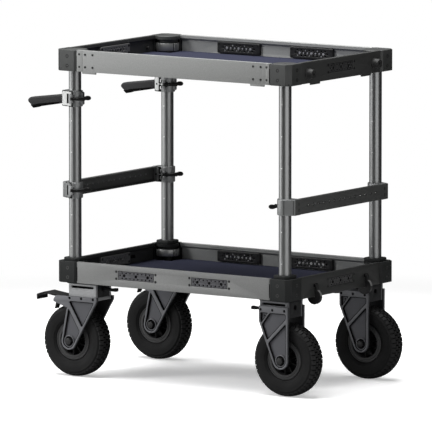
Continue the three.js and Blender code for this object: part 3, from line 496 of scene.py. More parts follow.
class Solid:
    """A mesh in millimetres to which shapes are added, and which becomes one piece."""

    def __init__(self) -> None:
        """Start empty."""
        self.mesh = bmesh.new()

    def _take(self, data: bpy.types.Mesh, matrix: Matrix) -> None:
        """Add a mesh and remove its data.

        Args:
            data: The mesh.
            matrix: Where it goes; the faces are turned if it mirrors.
        """
        data.transform(matrix)
        if matrix.to_3x3().determinant() < 0:
            data.flip_normals()
        self.mesh.from_mesh(data)
        bpy.data.meshes.remove(data)

    def slab(
        self,
        axis: Axis,
        outline: Outline,
        low: float,
        high: float,
        bevel: float = 0.0,
        holes: Iterable[Outline] = (),
        rounds: int = 2,
    ) -> "Solid":
        """Add an outline with holes, thickened along an axis from low to high.

        Args:
            axis: The direction of the thickness; the outline is drawn in the two others.
            outline: The outer outline.
            low: Where the slab starts.
            high: Where it ends.
            bevel: Size of the rounded edge.
            holes: Outlines of the openings.
            rounds: Steps in the rounded edge.

        Returns:
            The solid itself.
        """
        data = bpy.data.curves.new("slab", "CURVE")
        data.dimensions = "2D"
        data.fill_mode = "BOTH"
        data.extrude = (high - low) * HALF - bevel
        data.bevel_depth = bevel
        data.bevel_resolution = rounds
        data.offset = -bevel
        for ring, sense in [(outline, 1), *((hole, -1) for hole in holes)]:
            points = list(ring) if signed_area(ring) * sense < 0 else list(reversed(ring))
            spline = data.splines.new("POLY")
            spline.points.add(len(points) - 1)
            for knot, (u, v) in zip(spline.points, points):
                knot.co = (u, v, 0, 1)
            spline.use_cyclic_u = True
        holder = bpy.data.objects.new("slab", data)
        made = bpy.data.meshes.new_from_object(holder)
        bpy.data.objects.remove(holder)
        bpy.data.curves.remove(data)
        middle = (low + high) * HALF
        turn = {
            Axis.Z: Matrix(((1, 0, 0, 0), (0, 1, 0, 0), (0, 0, 1, middle), (0, 0, 0, 1))),
            Axis.Y: Matrix(((1, 0, 0, 0), (0, 0, -1, middle), (0, 1, 0, 0), (0, 0, 0, 1))),
            Axis.X: Matrix(((0, 0, 1, middle), (1, 0, 0, 0), (0, 1, 0, 0), (0, 0, 0, 1))),
        }[axis]
        self._take(made, turn)
        return self

    def turned(
        self, axis: Axis, profile: Outline, steps: int = 48, about: Point = (0, 0)
    ) -> "Solid":
        """Add a body turned about an axis from (radius, height) points.

        Args:
            axis: The axis of the turning.
            profile: Points that start and end on the axis, or a ring that closes on itself.
            steps: Number of segments.
            about: Where the axis runs, in the two other directions.

        Returns:
            The solid itself.
        """
        part = bmesh.new()
        angles = [FULL_TURN * i / steps for i in range(steps)]
        rings = []
        for radius, height in profile:
            if radius <= 0:
                ring = [(0, 0, height)]
            else:
                ring = [(radius * math.cos(a), radius * math.sin(a), height) for a in angles]
            rings.append([part.verts.new(spot) for spot in ring])
        pairs = list(zip(rings, rings[1:]))
        if profile[0][0] > 0 or profile[-1][0] > 0:
            pairs.append((rings[-1], rings[0]))
        for lower, upper in pairs:
            for i in range(steps):
                j = (i + 1) % steps
                corners = [lower[i % len(lower)], lower[j % len(lower)]]
                corners += [upper[j % len(upper)], upper[i % len(upper)]]
                unique = list(dict.fromkeys(corners))
                if len(unique) > 2:
                    part.faces.new(unique)
        bmesh.ops.recalc_face_normals(part, faces=part.faces)
        data = bpy.data.meshes.new("turned")
        part.to_mesh(data)
        part.free()
        u, v = about
        turn = {
            Axis.Z: Matrix(((1, 0, 0, u), (0, 1, 0, v), (0, 0, 1, 0), (0, 0, 0, 1))),
            Axis.Y: Matrix(((1, 0, 0, u), (0, 0, 1, 0), (0, -1, 0, v), (0, 0, 0, 1))),
            Axis.X: Matrix(((0, 0, 1, 0), (1, 0, 0, u), (0, 1, 0, v), (0, 0, 0, 1))),
        }[axis]
        self._take(data, turn)
        return self

    def disc(
        self,
        axis: Axis,
        radius: float,
        low: float,
        high: float,
        about: Point = (0, 0),
        edge: float = 0.0,
        steps: int = 24,
    ) -> "Solid":
        """Add a short cylinder.

        Args:
            axis: Its axis.
            radius: Its radius.
            low: Where it starts.
            high: Where it ends.
            about: Where the axis runs, in the two other directions.
            edge: Size of the chamfer at both ends.
            steps: Number of segments.

        Returns:
            The solid itself.
        """
        rim = [(radius - edge, low), (radius, low + edge), (radius, high - edge)]
        profile = [(0, low), *rim, (radius - edge, high), (0, high)]
        clean = [p for i, p in enumerate(profile) if i == 0 or p != profile[i - 1]]
        return self.turned(axis, clean, steps, about)

    def add(self, other: "Solid", matrix: Optional[Matrix] = None) -> "Solid":
        """Add a copy of another solid.

        Args:
            other: The solid to copy.
            matrix: Where the copy goes.

        Returns:
            The solid itself.
        """
        data = bpy.data.meshes.new("copy")
        other.mesh.to_mesh(data)
        self._take(data, matrix or Matrix.Identity(4))
        return self

    def piece(self, name: str, finish: Finish, seat: Seat, *nodes: str) -> None:
        """Turn the solid into a piece that rides on a body.

        Args:
            name: Name of the piece.
            finish: Its finish.
            seat: The body that it rides on, and its place.
            nodes: The CAD nodes that it stands for.
        """
        matrix = moved(CART_SHIFT) @ seat.place
        data = bpy.data.meshes.new(name)
        bmesh.ops.remove_doubles(self.mesh, verts=self.mesh.verts, dist=WELD)
        for face in self.mesh.faces:
            face.smooth = True
        for edge in self.mesh.edges:
            joined = len(edge.link_faces) == 2
            edge.smooth = joined and edge.calc_face_angle(math.pi) < SHARP_ANGLE
        self.mesh.to_mesh(data)
        self.mesh.free()
        data.transform(Matrix.Scale(MM, 4) @ matrix)
        if matrix.to_3x3().determinant() < 0:
            data.flip_normals()
        data.materials.append(finish.material())
        made = bpy.data.objects.new(name, data)
        bpy.context.scene.collection.objects.link(made)
        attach(made, seat.body)
        if nodes:
            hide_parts(*nodes)
        LOG.info("%s rides on %s", name, seat.body)


@dataclass(frozen=True)
class Stud:
    """A small round fastener or shade that sinks into a face and stands proud of it."""

    radius: float
    sink: float
    proud: float
    edge: float
    steps: int

    def on(self, target: Solid, axis: Axis, face: float, spot: Point, side: int = 1) -> None:
        """Add the stud to a face at this distance, on one side of the middle."""
        ends = span(side, face - self.sink, face + self.proud)
        target.disc(axis, self.radius, *ends, spot, self.edge, self.steps)


def cart_shift() -> float:
    """Return how far the CAD's origin lies from the middle of the masts, in millimetres."""
    low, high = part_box("mast_front_right")
    return (low[0] + high[0]) * HALF / MM - MAST_X


CART_SHIFT = cart_shift()


def dress(node: str, finish: Finish) -> None:
    """Give a CAD node that keeps its shape its finish.

    Args:
        node: Name of the node.
        finish: The finish.
    """
    target = bpy.data.objects[node]
    for slot in target.material_slots:
        slot.material = finish.material()
    if not target.material_slots:
        target.data.materials.append(finish.material())
    LOG.info("%s keeps its CAD shape in %s", node, finish.name)


@dataclass(frozen=True)
class Corner:
    """One of the four corners of the cart."""

    tag: str
    sx: int
    sy: int

    def outwards(self, x: float, y: float, z: float) -> Matrix:
        """Return the place of a piece drawn for the right end, at this corner's end."""
        turn = 0.0 if self.sx > 0 else math.pi
        return moved(self.sx * x, self.sy * y, z) @ spun(turn)


CORNERS = (
    Corner("front_left", -1, -1),
    Corner("front_right", 1, -1),
    Corner("back_left", -1, 1),
    Corner("back_right", 1, 1),
)


@dataclass
class Masts:
    """Four round masts with a lengthwise groove and index dots that face the front; the dots are
    bright, painted highlights for the lit index holes.
    """

    radius: float = 19.5
    bore: float = 16.0
    top: float = 1019.0
    foot: float = 334.3
    groove_half: float = 0.8
    groove_depth: float = 0.7
    seam: float = 0.001
    dot: Stud = Stud(1.9, 0.7, 0.05, 0.0, 12)
    dot_top: float = 908.0
    dot_pitch: float = 98.5
    dot_count: int = 6
    steps: int = 72

    def build(self) -> None:
        """Build and place the masts."""
        bore = circle(0, 0, self.bore, self.steps)
        for corner in CORNERS:
            seat = Seat("base", moved(corner.sx * MAST_X, corner.sy * MAST_Y))
            tube = Solid().slab(Axis.Z, self._outline(), self.foot, self.top, holes=[bore])
            tube.piece("mast_tube_" + corner.tag, MAST_METAL, seat, "mast_" + corner.tag)
            dots = Solid()
            for i in range(self.dot_count):
                spot = (0, self.dot_top - i * self.dot_pitch)
                self.dot.on(dots, Axis.Y, self.radius, spot, -1)
            dots.piece("mast_dots_" + corner.tag, MAST_DOT, seat)

    def _outline(self) -> list[Point]:
        """Return the tube's outline with the groove on the front."""
        spread = math.degrees(math.asin(self.groove_half / self.radius))
        sweep = CIRCLE - 2 * spread - self.seam
        ring = circle(0, 0, self.radius, self.steps, -QUARTER + spread, sweep)
        floor = -self.radius + self.groove_depth
        return [*ring, (-self.groove_half, floor), (self.groove_half, floor)]


@dataclass
class Plate:
    """A perforated plate along X, about x, with the rail's outer face at y = 0."""

    x: float
    length: float = 161.0
    height: float = 36.0
    corner: float = 4.0
    bevel: float = 1.2
    web: float = 6.0
    proud: float = 9.0
    skin: float = 0.35
    boss_length: float = 132.0
    boss_height: float = 25.0
    boss_corner: float = 1.0
    boss_bevel: float = 0.4
    boss_recess: float = 1.0
    core_room: float = 0.6
    window_room: float = 2.8
    window_corner: float = 1.2
    pitch: float = 14.8
    row_rise: float = 8.3
    row_count: int = 8
    small: float = 2.5
    small_steps: int = 10
    large: float = 4.8
    large_steps: int = 14
    large_count: int = 7
    through: int = 3
    drop: float = 31.0
    face_thickness: float = 1.0
    screw_x: float = 73.9
    screw_z: float = 11.1
    screw: Stud = Stud(4.2, 0.6, 0.3, 0.2, 14)
    screw_inside: Stud = Stud(4.2, 0.6, 0.4, 0.2, 14)
    # The next three studs are bright discs in the inner face's holes: painted light.
    hole_light_through: Stud = Stud(3.9, -0.6, 1.6, 0.0, 14)
    hole_light_plain: Stud = Stud(2.9, -0.6, 1.6, 0.0, 14)
    hole_light_small: Stud = Stud(1.8, -0.6, 1.6, 0.0, 12)

    @property
    def back(self) -> float:
        """Return where the inner face lies."""
        return -self.web - self.proud - self.skin

    @property
    def face(self) -> float:
        """Return where the outer face lies."""
        return -self.boss_recess + self.skin

    def _boss(self, room: float, corner: float) -> list[Point]:
        """Return the outline of the part that fills the rail's window, larger by some room."""
        size = (self.boss_length + room, self.boss_height + room)
        return rounded(self.x, -self.drop, *size, corner)

    def window(self) -> list[Point]:
        """Return the outline of the opening in the rail."""
        return self._boss(self.window_room, self.window_corner)

    def _rows(self) -> list[tuple[int, int, Point]]:
        """Return row, number and place of each hole above and below the middle row."""
        first, rise = -(self.row_count - 1) * HALF, self.row_rise
        return [
            (row, i, (self.x + (first + i) * self.pitch, -self.drop + row * rise))
            for row in SIDES
            for i in range(self.row_count)
        ]

    def _middle_row(self) -> list[tuple[int, Point]]:
        """Return number and place of each hole in the middle row, counted from its middle."""
        last = self.large_count // 2
        return [(i, (self.x + i * self.pitch, -self.drop)) for i in range(-last, last + 1)]

    def _holes(self, all_large: bool) -> list[list[Point]]:
        """Return the outlines of the holes.

        Args:
            all_large: Whether all holes of the middle row are open, or every third.

        Returns:
            The outlines.
        """
        spots = [spot for _, _, spot in self._rows()]
        reach = self.row_count * HALF * self.pitch
        spots += [(self.x + side * reach, -self.drop) for side in SIDES]
        out = [circle(*spot, self.small, self.small_steps) for spot in spots]
        for i, spot in self._middle_row():
            if all_large or i % self.through == 0:
                out.append(circle(*spot, self.large, self.large_steps))
        return out

    def back_plate(self) -> Solid:
        """Return the part that stands inside the shelf."""
        outline = rounded(self.x, -self.drop, self.length, self.height, self.corner)
        high = -self.web + self.skin
        return Solid().slab(Axis.Y, outline, self.back, high, self.bevel, self._holes(True))

    def front_plate(self) -> Solid:
        """Return the face that shows outside."""
        outline, low = self._boss(0.0, self.boss_corner), self.face - self.face_thickness
        return Solid().slab(Axis.Y, outline, low, self.face, self.boss_bevel, self._holes(False))

    def core(self) -> Solid:
        """Return the shaded core behind the face."""
        outline = self._boss(-self.core_room, self.boss_corner)
        low, high = -self.web + self.skin * 2, self.face - self.face_thickness
        return Solid().slab(Axis.Y, outline, low, high, holes=self._holes(False))

    def inserts(self) -> Solid:
        """Return bright discs in the inner face's holes: painted light that stands for the light
        seen through them.
        """
        made = Solid()
        for i, spot in self._middle_row():
            stud = self.hole_light_plain if i % self.through else self.hole_light_through
            stud.on(made, Axis.Y, self.back, spot)
        for row, i, spot in self._rows():
            if (i + (row > 0)) % self.through == 0:
                self.hole_light_small.on(made, Axis.Y, self.back, spot)
        return made

    def screws(self) -> Solid:
        """Return the screws beside the plate, outside and inside."""
        made = Solid()
        for sx in SIDES:
            for sz in SIDES:
                spot = (self.x + sx * self.screw_x, -self.drop + sz * self.screw_z)
                self.screw.on(made, Axis.Y, 0, spot)
                self.screw_inside.on(made, Axis.Y, self.back, spot)
        return made


@dataclass(frozen=True)
class Rail:
    """One rail of a shelf: the middles of its plates and slots, its tabs, place and turn."""

    tag: str
    length: float
    windows: Numbers
    tabs: Outline
    slots: Numbers
    spot: Point
    turn: float
    finish: Finish


PLATE_INSIDE = {"back": PLATE_BLACK, "left": PLATE_INNER}


@dataclass
class Shelf:
    """Rails, corner castings and lining of one shelf, whose names start with the prefix."""

    prefix: str
    body: str
    top: float
    upper: bool
    height: float = 67.0
    inner: float = 31.5
    face: float = 38.5
    gap: float = 0.3
    web: float = 6.0
    bar_bevel: float = 0.9
    lip: Outline = ((-1, -0.4), (-12, 0), (-13, -1), (-13, -10), (-5, -17), (-1, -17))
    ledge: float = 22.0
    ledge_root: float = 1.0
    ledge_height: float = 7.0
    ledge_lift: float = 0.2
    ledge_bevel: float = 0.4
    slot_size: tuple[float, float, float] = (22.0, 11.0, 1.5)
    slot_drop: float = 32.0
    tab_width: float = 52.0
    tab_drop: float = 6.0
    tab_slope: float = 1.0
    tab_end_long: float = 21.0
    tab_end_short: float = 54.0
    seam: float = 2.2
    seam_shade: float = 1.2
    seam_trim: float = 0.6
    seam_depth: float = 1.4
    strips: Outline = ((-359.5, -346.8), (338.6, 359.5))
    strip_proud: float = 0.7
    strip_sink: float = 0.4
    strip_bevel: float = 0.3
    screw: Stud = Stud(3.6, 0.4, 1.2, 0.3, 16)
    screw_spots: Numbers = (-350.0, 350.0, -328.0, 328.0, -300.0, 300.0)
    screw_drops: Point = (12.5, 52.0)
    plate_offset: float = 137.5

    def build(self) -> None:
        """Build the rails, the castings and the lining."""
        for rail in self._rails():
            self._rail(rail)
        Castings(self).build()
        dress(self.prefix + "_floor", LINING)

    def _tabs(self, length: float, end: float) -> Outline:
        """Return the ends of the two tabs below a rail, of which only the upper shelf has any."""
        far = length * HALF - end
        return ((-far, self.tab_width - far), (far - self.tab_width, far)) if self.upper else ()

    def _rails(self) -> tuple[Rail, ...]:
        """Return the four rails."""
        long = 2 * (MAST_X - self.inner - self.gap)
        short = 2 * (MAST_Y - self.inner - self.gap)
        pair = (-self.plate_offset, self.plate_offset)
        tabs = self._tabs(long, self.tab_end_long)
        end_tabs = self._tabs(short, self.tab_end_short)
        left, right = (
            () if self.upper else (-offset, offset) for offset in (LEVER_LEFT, LEVER_RIGHT)
        )
        x, y = MAST_X + self.face, MAST_Y + self.face
        quarter = math.pi / 2
        front, back, end = SILVER_RAIL, BACK_RAIL, END_RAIL
        if not self.upper:
            front, back, end = GREY_RAIL, BACK_RAIL_LOW, DARK_RAIL
        shown = () if self.upper else pair
        return (
            Rail("front", long, shown, tabs, (), (0, -y), math.pi, front),
            Rail("back", long, pair, tabs, (), (0, y), 0.0, back),
            Rail("left", short, (0.0,), end_tabs, left, (-x, 0), quarter, end),
            Rail("right", short, (0.0,), end_tabs, right, (x, 0), -quarter, end),
        )

    def _rail(self, rail: Rail) -> None:
        """Build one rail with its plates, strips and screws.

        Args:
            rail: The rail.
        """
        seat = Seat(self.body, moved(*rail.spot, self.top) @ spun(rail.turn))
        node = f"{self.prefix}_rail_{rail.tag}"
        self._bar(rail).piece(node + "_bar", rail.finish, seat, node)
        self._seams(rail.length * HALF).piece(node + "_seams", HOLE_DARK, seat)
        front = PLATE if rail.tag == "front" else PLATE_END
        for i, window in enumerate(rail.windows):
            name, plate = node + "_plate_", Plate(window)
            parts = [
                (plate.back_plate, "", PLATE_INSIDE.get(rail.tag, PLATE_END)),
                (plate.core, "core_", HOLE_DARK),
                (plate.front_plate, "face_", front),
                (plate.screws, "screws_", SCREW_DARK),
            ]
            if rail.tag == "back":
                parts.append((plate.inserts, "hole_lights_", INSERT_AND_HOLE_LIGHT))
            for make, part, finish in parts:
                make().piece(f"{name}{part}{i + 1}", finish, seat)
        if not rail.windows:
            self._strips(node, seat)

    def _bar(self, rail: Rail) -> Solid:
        """Build one rail's bar along X with its outer face at y = 0.

        Args:
            rail: The rail.

        Returns:
            The bar with its lip and its ledge.
        """
        half, foot = rail.length * HALF, -self.height
        edge, low_foot = half - self.seam, foot - self.tab_drop
        outline: list[Point] = [(-edge, 0), (-edge, foot)]
        for low, high in rail.tabs:
            outline += [(low, foot), (low + self.tab_slope, low_foot)]
            outline += [(high - self.tab_slope, low_foot), (high, foot)]
        outline += [(edge, foot), (edge, 0)]
        openings = [Plate(x).window() for x in rail.windows]
        openings += [rounded(x, -self.slot_drop, *self.slot_size) for x in rail.slots]
        made = Solid().slab(Axis.Y, outline, -self.web, 0, self.bar_bevel, openings)
        made.slab(Axis.X, self.lip, -half, half)
        low, high = foot + self.ledge_lift, foot + self.ledge_height
        ledge = rectangle(-self.ledge, -self.ledge_root, low, high)
        return made.slab(Axis.X, ledge, -half, half, self.ledge_bevel)

    def _seams(self, half: float) -> Solid:
        """Build the shaded seams where a rail meets its castings.

        Args:
            half: Half the rail's length.

        Returns:
            The seams at both ends.
        """
        made = Solid()
        for side in SIDES:
            ends = span(side, half - self.seam - self.seam_shade, half)
            strip = rectangle(*ends, -self.height + self.seam_trim, -self.seam_trim)
            made.slab(Axis.Y, strip, -self.web + self.seam_trim, -self.seam_depth)
        return made

    def _strips(self, node: str, seat: Seat) -> None:
        """Dress the upper front rail with its end strips and screws.

        Args:
            node: Name of the rail's node.
            seat: The rail's seat.
        """
        strips, sink = Solid(), self.strip_sink
        for low, high in self.strips:
            strip = rectangle(low, high, -self.height + sink, -sink)
            strips.slab(Axis.Y, strip, -sink, self.strip_proud, self.strip_bevel)
        strips.piece(node + "_end_strips", SILVER_RAIL, seat)
        screws = Solid()
        for x in self.screw_spots:
            for drop in self.screw_drops:
                self.screw.on(screws, Axis.Y, 0, (x, -drop))
        screws.piece(node + "_face_screws", SCREW_DARK, seat)


UPPER_CORE = (
    (0, -1.5), (38.2, -1.5), (39.4, -2.7), (39.4, -12), (33, -12), (33, -24), (35.9, -24),
    (36.7, -24.8), (36.7, -48.2), (35.9, -49), (33, -49), (33, -67), (19.4, -67), (19.4, -15.7),
    (0, -15.7),
)
LOWER_CORE = (
    (19.4, 0), (36, -1.5), (36, -10), (29, -10), (29, -18), (34.8, -18), (35.6, -18.8),
    (35.6, -39.2), (34.8, -40), (15, -40), (15, -66.5), (2, -66.5), (2, -36), (19.4, -36),
)
CASTING_SCREW = ((0, 42.6), (5.6, 42.6), (5.6, 43.8), (4.4, 43.9), (1.8, 43.2), (0, 43.2))


@dataclass
class Castings:
    """The four corner castings of one shelf, with their collars, caps and screws."""

    shelf: Shelf
    reach: float = 43.5
    chamfer: float = 15.3
    corner: float = 6.0
    wall: float = 14.0
    wall_bevel: float = 1.6
    seat_height: float = 10.0
    gusset: float = 42.5
    gusset_height: float = 6.6
    block_bevel: float = 0.8
    steps: int = 64
    upper_collar: Point = (-48.6, -24.4)
    lower_collar: Point = (-39.6, -18.4)
    collar_bore: float = 34.0
    collar_radius: float = 37.4
    collar_edge: float = 0.5
    collar_step: float = 1.0
    lugs: tuple[Numbers, ...] = (
        (-25.0, 38.6, 4.0, 0.6), (115.0, 38.6, 4.0, 0.6), (186.0, 38.2, 4.4, 0.4),
        (198.0, 38.2, 4.4, 0.4),
    )
    lug_width: float = 5.0
    lug_corner: float = 1.2
    lug_bevel: float = 0.6
    slits: Outline = ((180.6, 1.1), (192.0, 1.7), (203.4, 1.1))
    slit_radii: Point = (36.5, 37.8)
    slit_trim: float = 0.2
    dot: Stud = Stud(4.0, 1.6, -0.9, 0.3, 16)
    flange: float = 30.0
    flange_cut: float = 10.0
    flange_round: float = 5.0
    flange_ends: Point = (-1.2, 10.0)
    flange_bevel: float = 2.5
    flange_bore: float = 19.3
    flange_steps: int = 48
    plate: Numbers = (-84.0, 20.0, -72.0, 16.0)
    plate_ends: Point = (-73.0, -67.1)
    pin_radius: float = 9.0
    pin_ends: Point = (-103.0, -73.0)
    pin_spot: Point = (-32.0, -28.0)
    screw_drops: Point = (20.0, 50.0)
    screw_steps: int = 20

    @property
    def ends(self) -> Point:
        """Return the lower and the upper end of the collar."""
        return self.upper_collar if self.shelf.upper else self.lower_collar

    def build(self) -> None:
        """Build and place the castings."""
        block_finish, screw_finish = CASTING_DARK, SCREW_BLOCK
        if self.shelf.upper:
            block_finish, screw_finish = CASTING, SCREW_DARK
        for corner in CORNERS:
            place = moved(corner.sx * MAST_X, corner.sy * MAST_Y, self.shelf.top)
            seat = Seat(self.shelf.body, place @ Matrix.Diagonal((corner.sx, corner.sy, 1, 1)))
            node = f"{self.shelf.prefix}_corner_{corner.tag}"
            core = self._upper_core() if self.shelf.upper else self._lower_core()
            self._walls().add(core).piece(node + "_block", block_finish, seat, node)
            self._screws().piece(node + "_screws", screw_finish, seat)
            self._collar().piece(node + "_collar", COLLAR, seat)
            self._slits().piece(node + "_collar_slits", HOLE_DARK, seat)

    def _walls(self) -> Solid:
        """Return the outer walls of a casting, drawn for the +X +Y corner."""
        inner, outer, back = -self.shelf.inner, self.reach, self.reach - self.wall
        outline = [
            (inner, outer - self.corner), (inner + self.corner, outer),
            (outer - self.chamfer, outer), (outer, outer - self.chamfer),
            (outer, inner + self.corner), (outer - self.corner, inner),
            (back, inner), (back, back), (inner, back),
        ]
        made = Solid().slab(Axis.Z, outline, -self.shelf.height, 0, self.wall_bevel)
        foot, low = outer - self.wall * HALF, -self.shelf.height
        plates = [(self.shelf.inner, self.seat_height)]
        if self.shelf.upper:
            plates.append((self.gusset, self.gusset_height))
        for reach, height in plates:
            square = rectangle(-reach, foot, -reach, foot)
            made.slab(Axis.Z, square, low, low + height, self.block_bevel)
        return made

    def _upper_core(self) -> Solid:
        """Return the cap and the clamped collar of an upper casting."""
        made = Solid().turned(Axis.Z, UPPER_CORE, self.steps)
        self.dot.on(made, Axis.Z, 0, (0, 0))
        return made

    def _lower_core(self) -> Solid:
        """Return the flange, the collar, the caster plate and the pin of a lower casting."""
        made = Solid().turned(Axis.Z, LOWER_CORE, self.steps)
        far, cut = self.flange, self.flange - self.flange_cut
        flange = [
            (far, cut), (cut, far), (-cut, far), (-far, cut),
            (-far, -cut), (-cut, -far), (cut, -far), (far, -cut),
        ]
        outline = soften(flange, self.flange_round)
        bore = circle(0, 0, self.flange_bore, self.flange_steps)
        made.slab(Axis.Z, outline, *self.flange_ends, self.flange_bevel, [bore], FINE)
        made.slab(Axis.Z, rectangle(*self.plate), *self.plate_ends, self.block_bevel)
        return made.disc(Axis.Z, self.pin_radius, *self.pin_ends, self.pin_spot)

    def _screws(self) -> Solid:
        """Return the two screws in each outer face of a casting."""
        made = Solid()
        for drop in self.screw_drops:
            for axis in (Axis.Y, Axis.X):
                made.turned(axis, CASTING_SCREW, self.screw_steps, (0, -drop))
        return made

    def _block(
        self, target: Solid, outline: Outline, trim: float, bevel: float, turn: float
    ) -> None:
        """Add a small upright block to a collar.

        Args:
            target: The solid that takes it.
            outline: Its outline, drawn on the X axis.
            trim: How far its ends stay within the collar's.
            bevel: Size of its rounded edge.
            turn: Where it goes round the mast, in degrees.
        """
        low, high = self.ends
        block = Solid().slab(Axis.Z, outline, low + trim, high - trim, bevel)
        target.add(block, spun(math.radians(turn)))

    def _collar(self) -> Solid:
        """Return the split collar with its lugs."""
        low, high = self.ends
        bore, radius, step = self.collar_bore, self.collar_radius, self.collar_step
        edge = radius - self.collar_edge
        ring = [(bore, low), (edge, low), (radius, low + step)]
        ring += [(radius, high - step), (edge, high), (bore, high)]
        made = Solid().turned(Axis.Z, ring, self.steps)
        for turn, middle, depth, trim in self.lugs:
            lug = rounded(middle, 0, depth, self.lug_width, self.lug_corner)
            self._block(made, lug, trim, self.lug_bevel, turn)
        return made

    def _slits(self) -> Solid:
        """Return dark strips beside the collar's lugs: painted shade that stands for the slits."""
        made = Solid()
        for turn, half in self.slits:
            slit = rectangle(*self.slit_radii, -half, half)
            self._block(made, slit, self.slit_trim, 0.0, turn)
        return made


@dataclass
class Knobs:
    """Clamp knobs in the ends of the upper shelf."""

    x: float = MAST_X + 38.5
    y: float = 187.0
    z: float = 998.0
    steps: int = 40
    profile: Outline = (
        (0, -16), (5, -16), (5, 0.3), (17.4, 0.3), (18, 1), (18, 4.2), (17.2, 5), (16.2, 5.3),
        (13.9, 21), (13, 22), (6.2, 22), (5.4, 21.4), (5.0, 18), (0, 18),
    )

    def build(self) -> None:
        """Build and place the knobs."""
        for corner in CORNERS:
            name = "tray_knob_" + corner.tag
            seat = Seat(name, corner.outwards(self.x, self.y, self.z))
            knob = Solid().turned(Axis.X, self.profile, self.steps)
            knob.piece(name + "_body", KNOB_GREY, seat, name)


@dataclass
class ReleaseLevers:
    """Upright discs on the ends of the lower shelf, each hooked into its slot."""

    x: float = MAST_X + 35.5
    z: float = 338.0
    radius: float = 24.2
    steps: int = 36
    tail: float = 238.0
    half: float = 6.0
    bevel: float = 1.2
    face: float = 3.6
    root: float = 7.0
    root_lift: float = 2.0
    shoulder: float = 0.7
    rail_foot: float = -35.0
    under: float = -36.5
    hub: float = 5.0
    hub_half: float = 10.7
    hub_edge: float = 0.6
    # The next sizes draw a pale strip on the disc's rim: a painted highlight.
    worn: float = 4.4
    highlight_proud: float = 0.4
    highlight_depth: float = 1.4
    highlight_start: float = 8.0
    highlight_sweep: float = 60.0
    highlight_steps: int = 14
    highlight_bevel: float = 0.3

    def build(self) -> None:
        """Build and place the levers."""
        for corner in CORNERS:
            name = "release_lever_" + corner.tag
            y = LEVER_LEFT if corner.sx < 0 else LEVER_RIGHT
            seat = Seat(name, corner.outwards(self.x, y, self.z))
            disc, half = Solid(), self.half
            disc.slab(Axis.Y, self._outline(), -half, half, self.bevel, rounds=FINE)
            disc.piece(name + "_disc", LEVER_GREY, seat, name)
            # The hub is near-black: painted shade that stands for the dark slot round the lever's
            # root.
            ends = (-self.hub_half, self.hub_half)
            hub = Solid().disc(Axis.Y, self.hub, *ends, edge=self.hub_edge)
            hub.piece(name + "_hub", HOLE_DARK, seat)
            # Pale strip on the rim's upper edge: a painted highlight.
            worn = Solid().slab(Axis.Y, self._edge(), -self.worn, self.worn, self.highlight_bevel)
            worn.piece(name + "_highlight_edge", EDGE_GREY, seat)

    def _outline(self) -> list[Point]:
        """Return the lever's outline: the root in the slot and the round of the disc."""
        inner = math.degrees(math.asin((self.rail_foot - self.under) / self.radius))
        start, sweep = HALF_CIRCLE + inner, self.tail - inner
        root = [(0, self.hub), (0, -self.hub), (self.face, -self.hub), (self.face, self.under)]
        arc = circle(0, self.rail_foot, self.radius, self.steps, start, sweep)
        top = self.hub * self.shoulder
        return [*root, *arc, (self.face + self.root, self.root_lift), (top, top)]

    def _edge(self) -> list[Point]:
        """Return the outline of the painted highlight on the disc's rim."""
        start, sweep, steps = self.highlight_start, self.highlight_sweep, self.highlight_steps
        outer, inner = self.radius + self.highlight_proud, self.radius - self.highlight_depth
        arc = circle(0, self.rail_foot, outer, steps, start, sweep)
        return arc + circle(0, self.rail_foot, inner, steps, start + sweep, -sweep)


@dataclass(frozen=True)
class CasterKind:
    """Sizes in which the braked and the plain casters differ.

    The axle trails behind the swivel's axis, and the crown's middle is shifted ahead of it.
    The lead and the back edge of the legs turn in at their shoulders. The band above the
    pockets carries the screws, and the rib between the pockets runs from a point at an angle
    in degrees.
    """

    trail: float
    lock: float
    leg_top: float
    lead: float
    lead_shoulder: float
    back: float
    back_shoulder: float
    shift: float
    band: float
    rib: Point
    rib_angle: float
    rib_width: float
    screws: Outline
    braked: bool


BRAKED = CasterKind(
    trail=44.3, lock=286.0, leg_top=257.0, lead=62.0, lead_shoulder=246.0, back=-51.0,
    back_shoulder=219.0, shift=4.0, band=242.0, rib=(-41.6, 238.6), rib_angle=-58.6,
    rib_width=13.0, screws=((-39.7, 251.8), (4.6, 251.8), (49.2, 251.8)), braked=True,
)
PLAIN = CasterKind(
    trail=27.5, lock=270.0, leg_top=281.0, lead=51.0, lead_shoulder=233.0, back=-54.5,
    back_shoulder=233.0, shift=0.0, band=261.0, rib=(-44.8, 240.5), rib_angle=-45.0,
    rib_width=9.0, screws=((-43.6, 270.2), (0.6, 270.2), (43.9, 270.2)), braked=False,
)


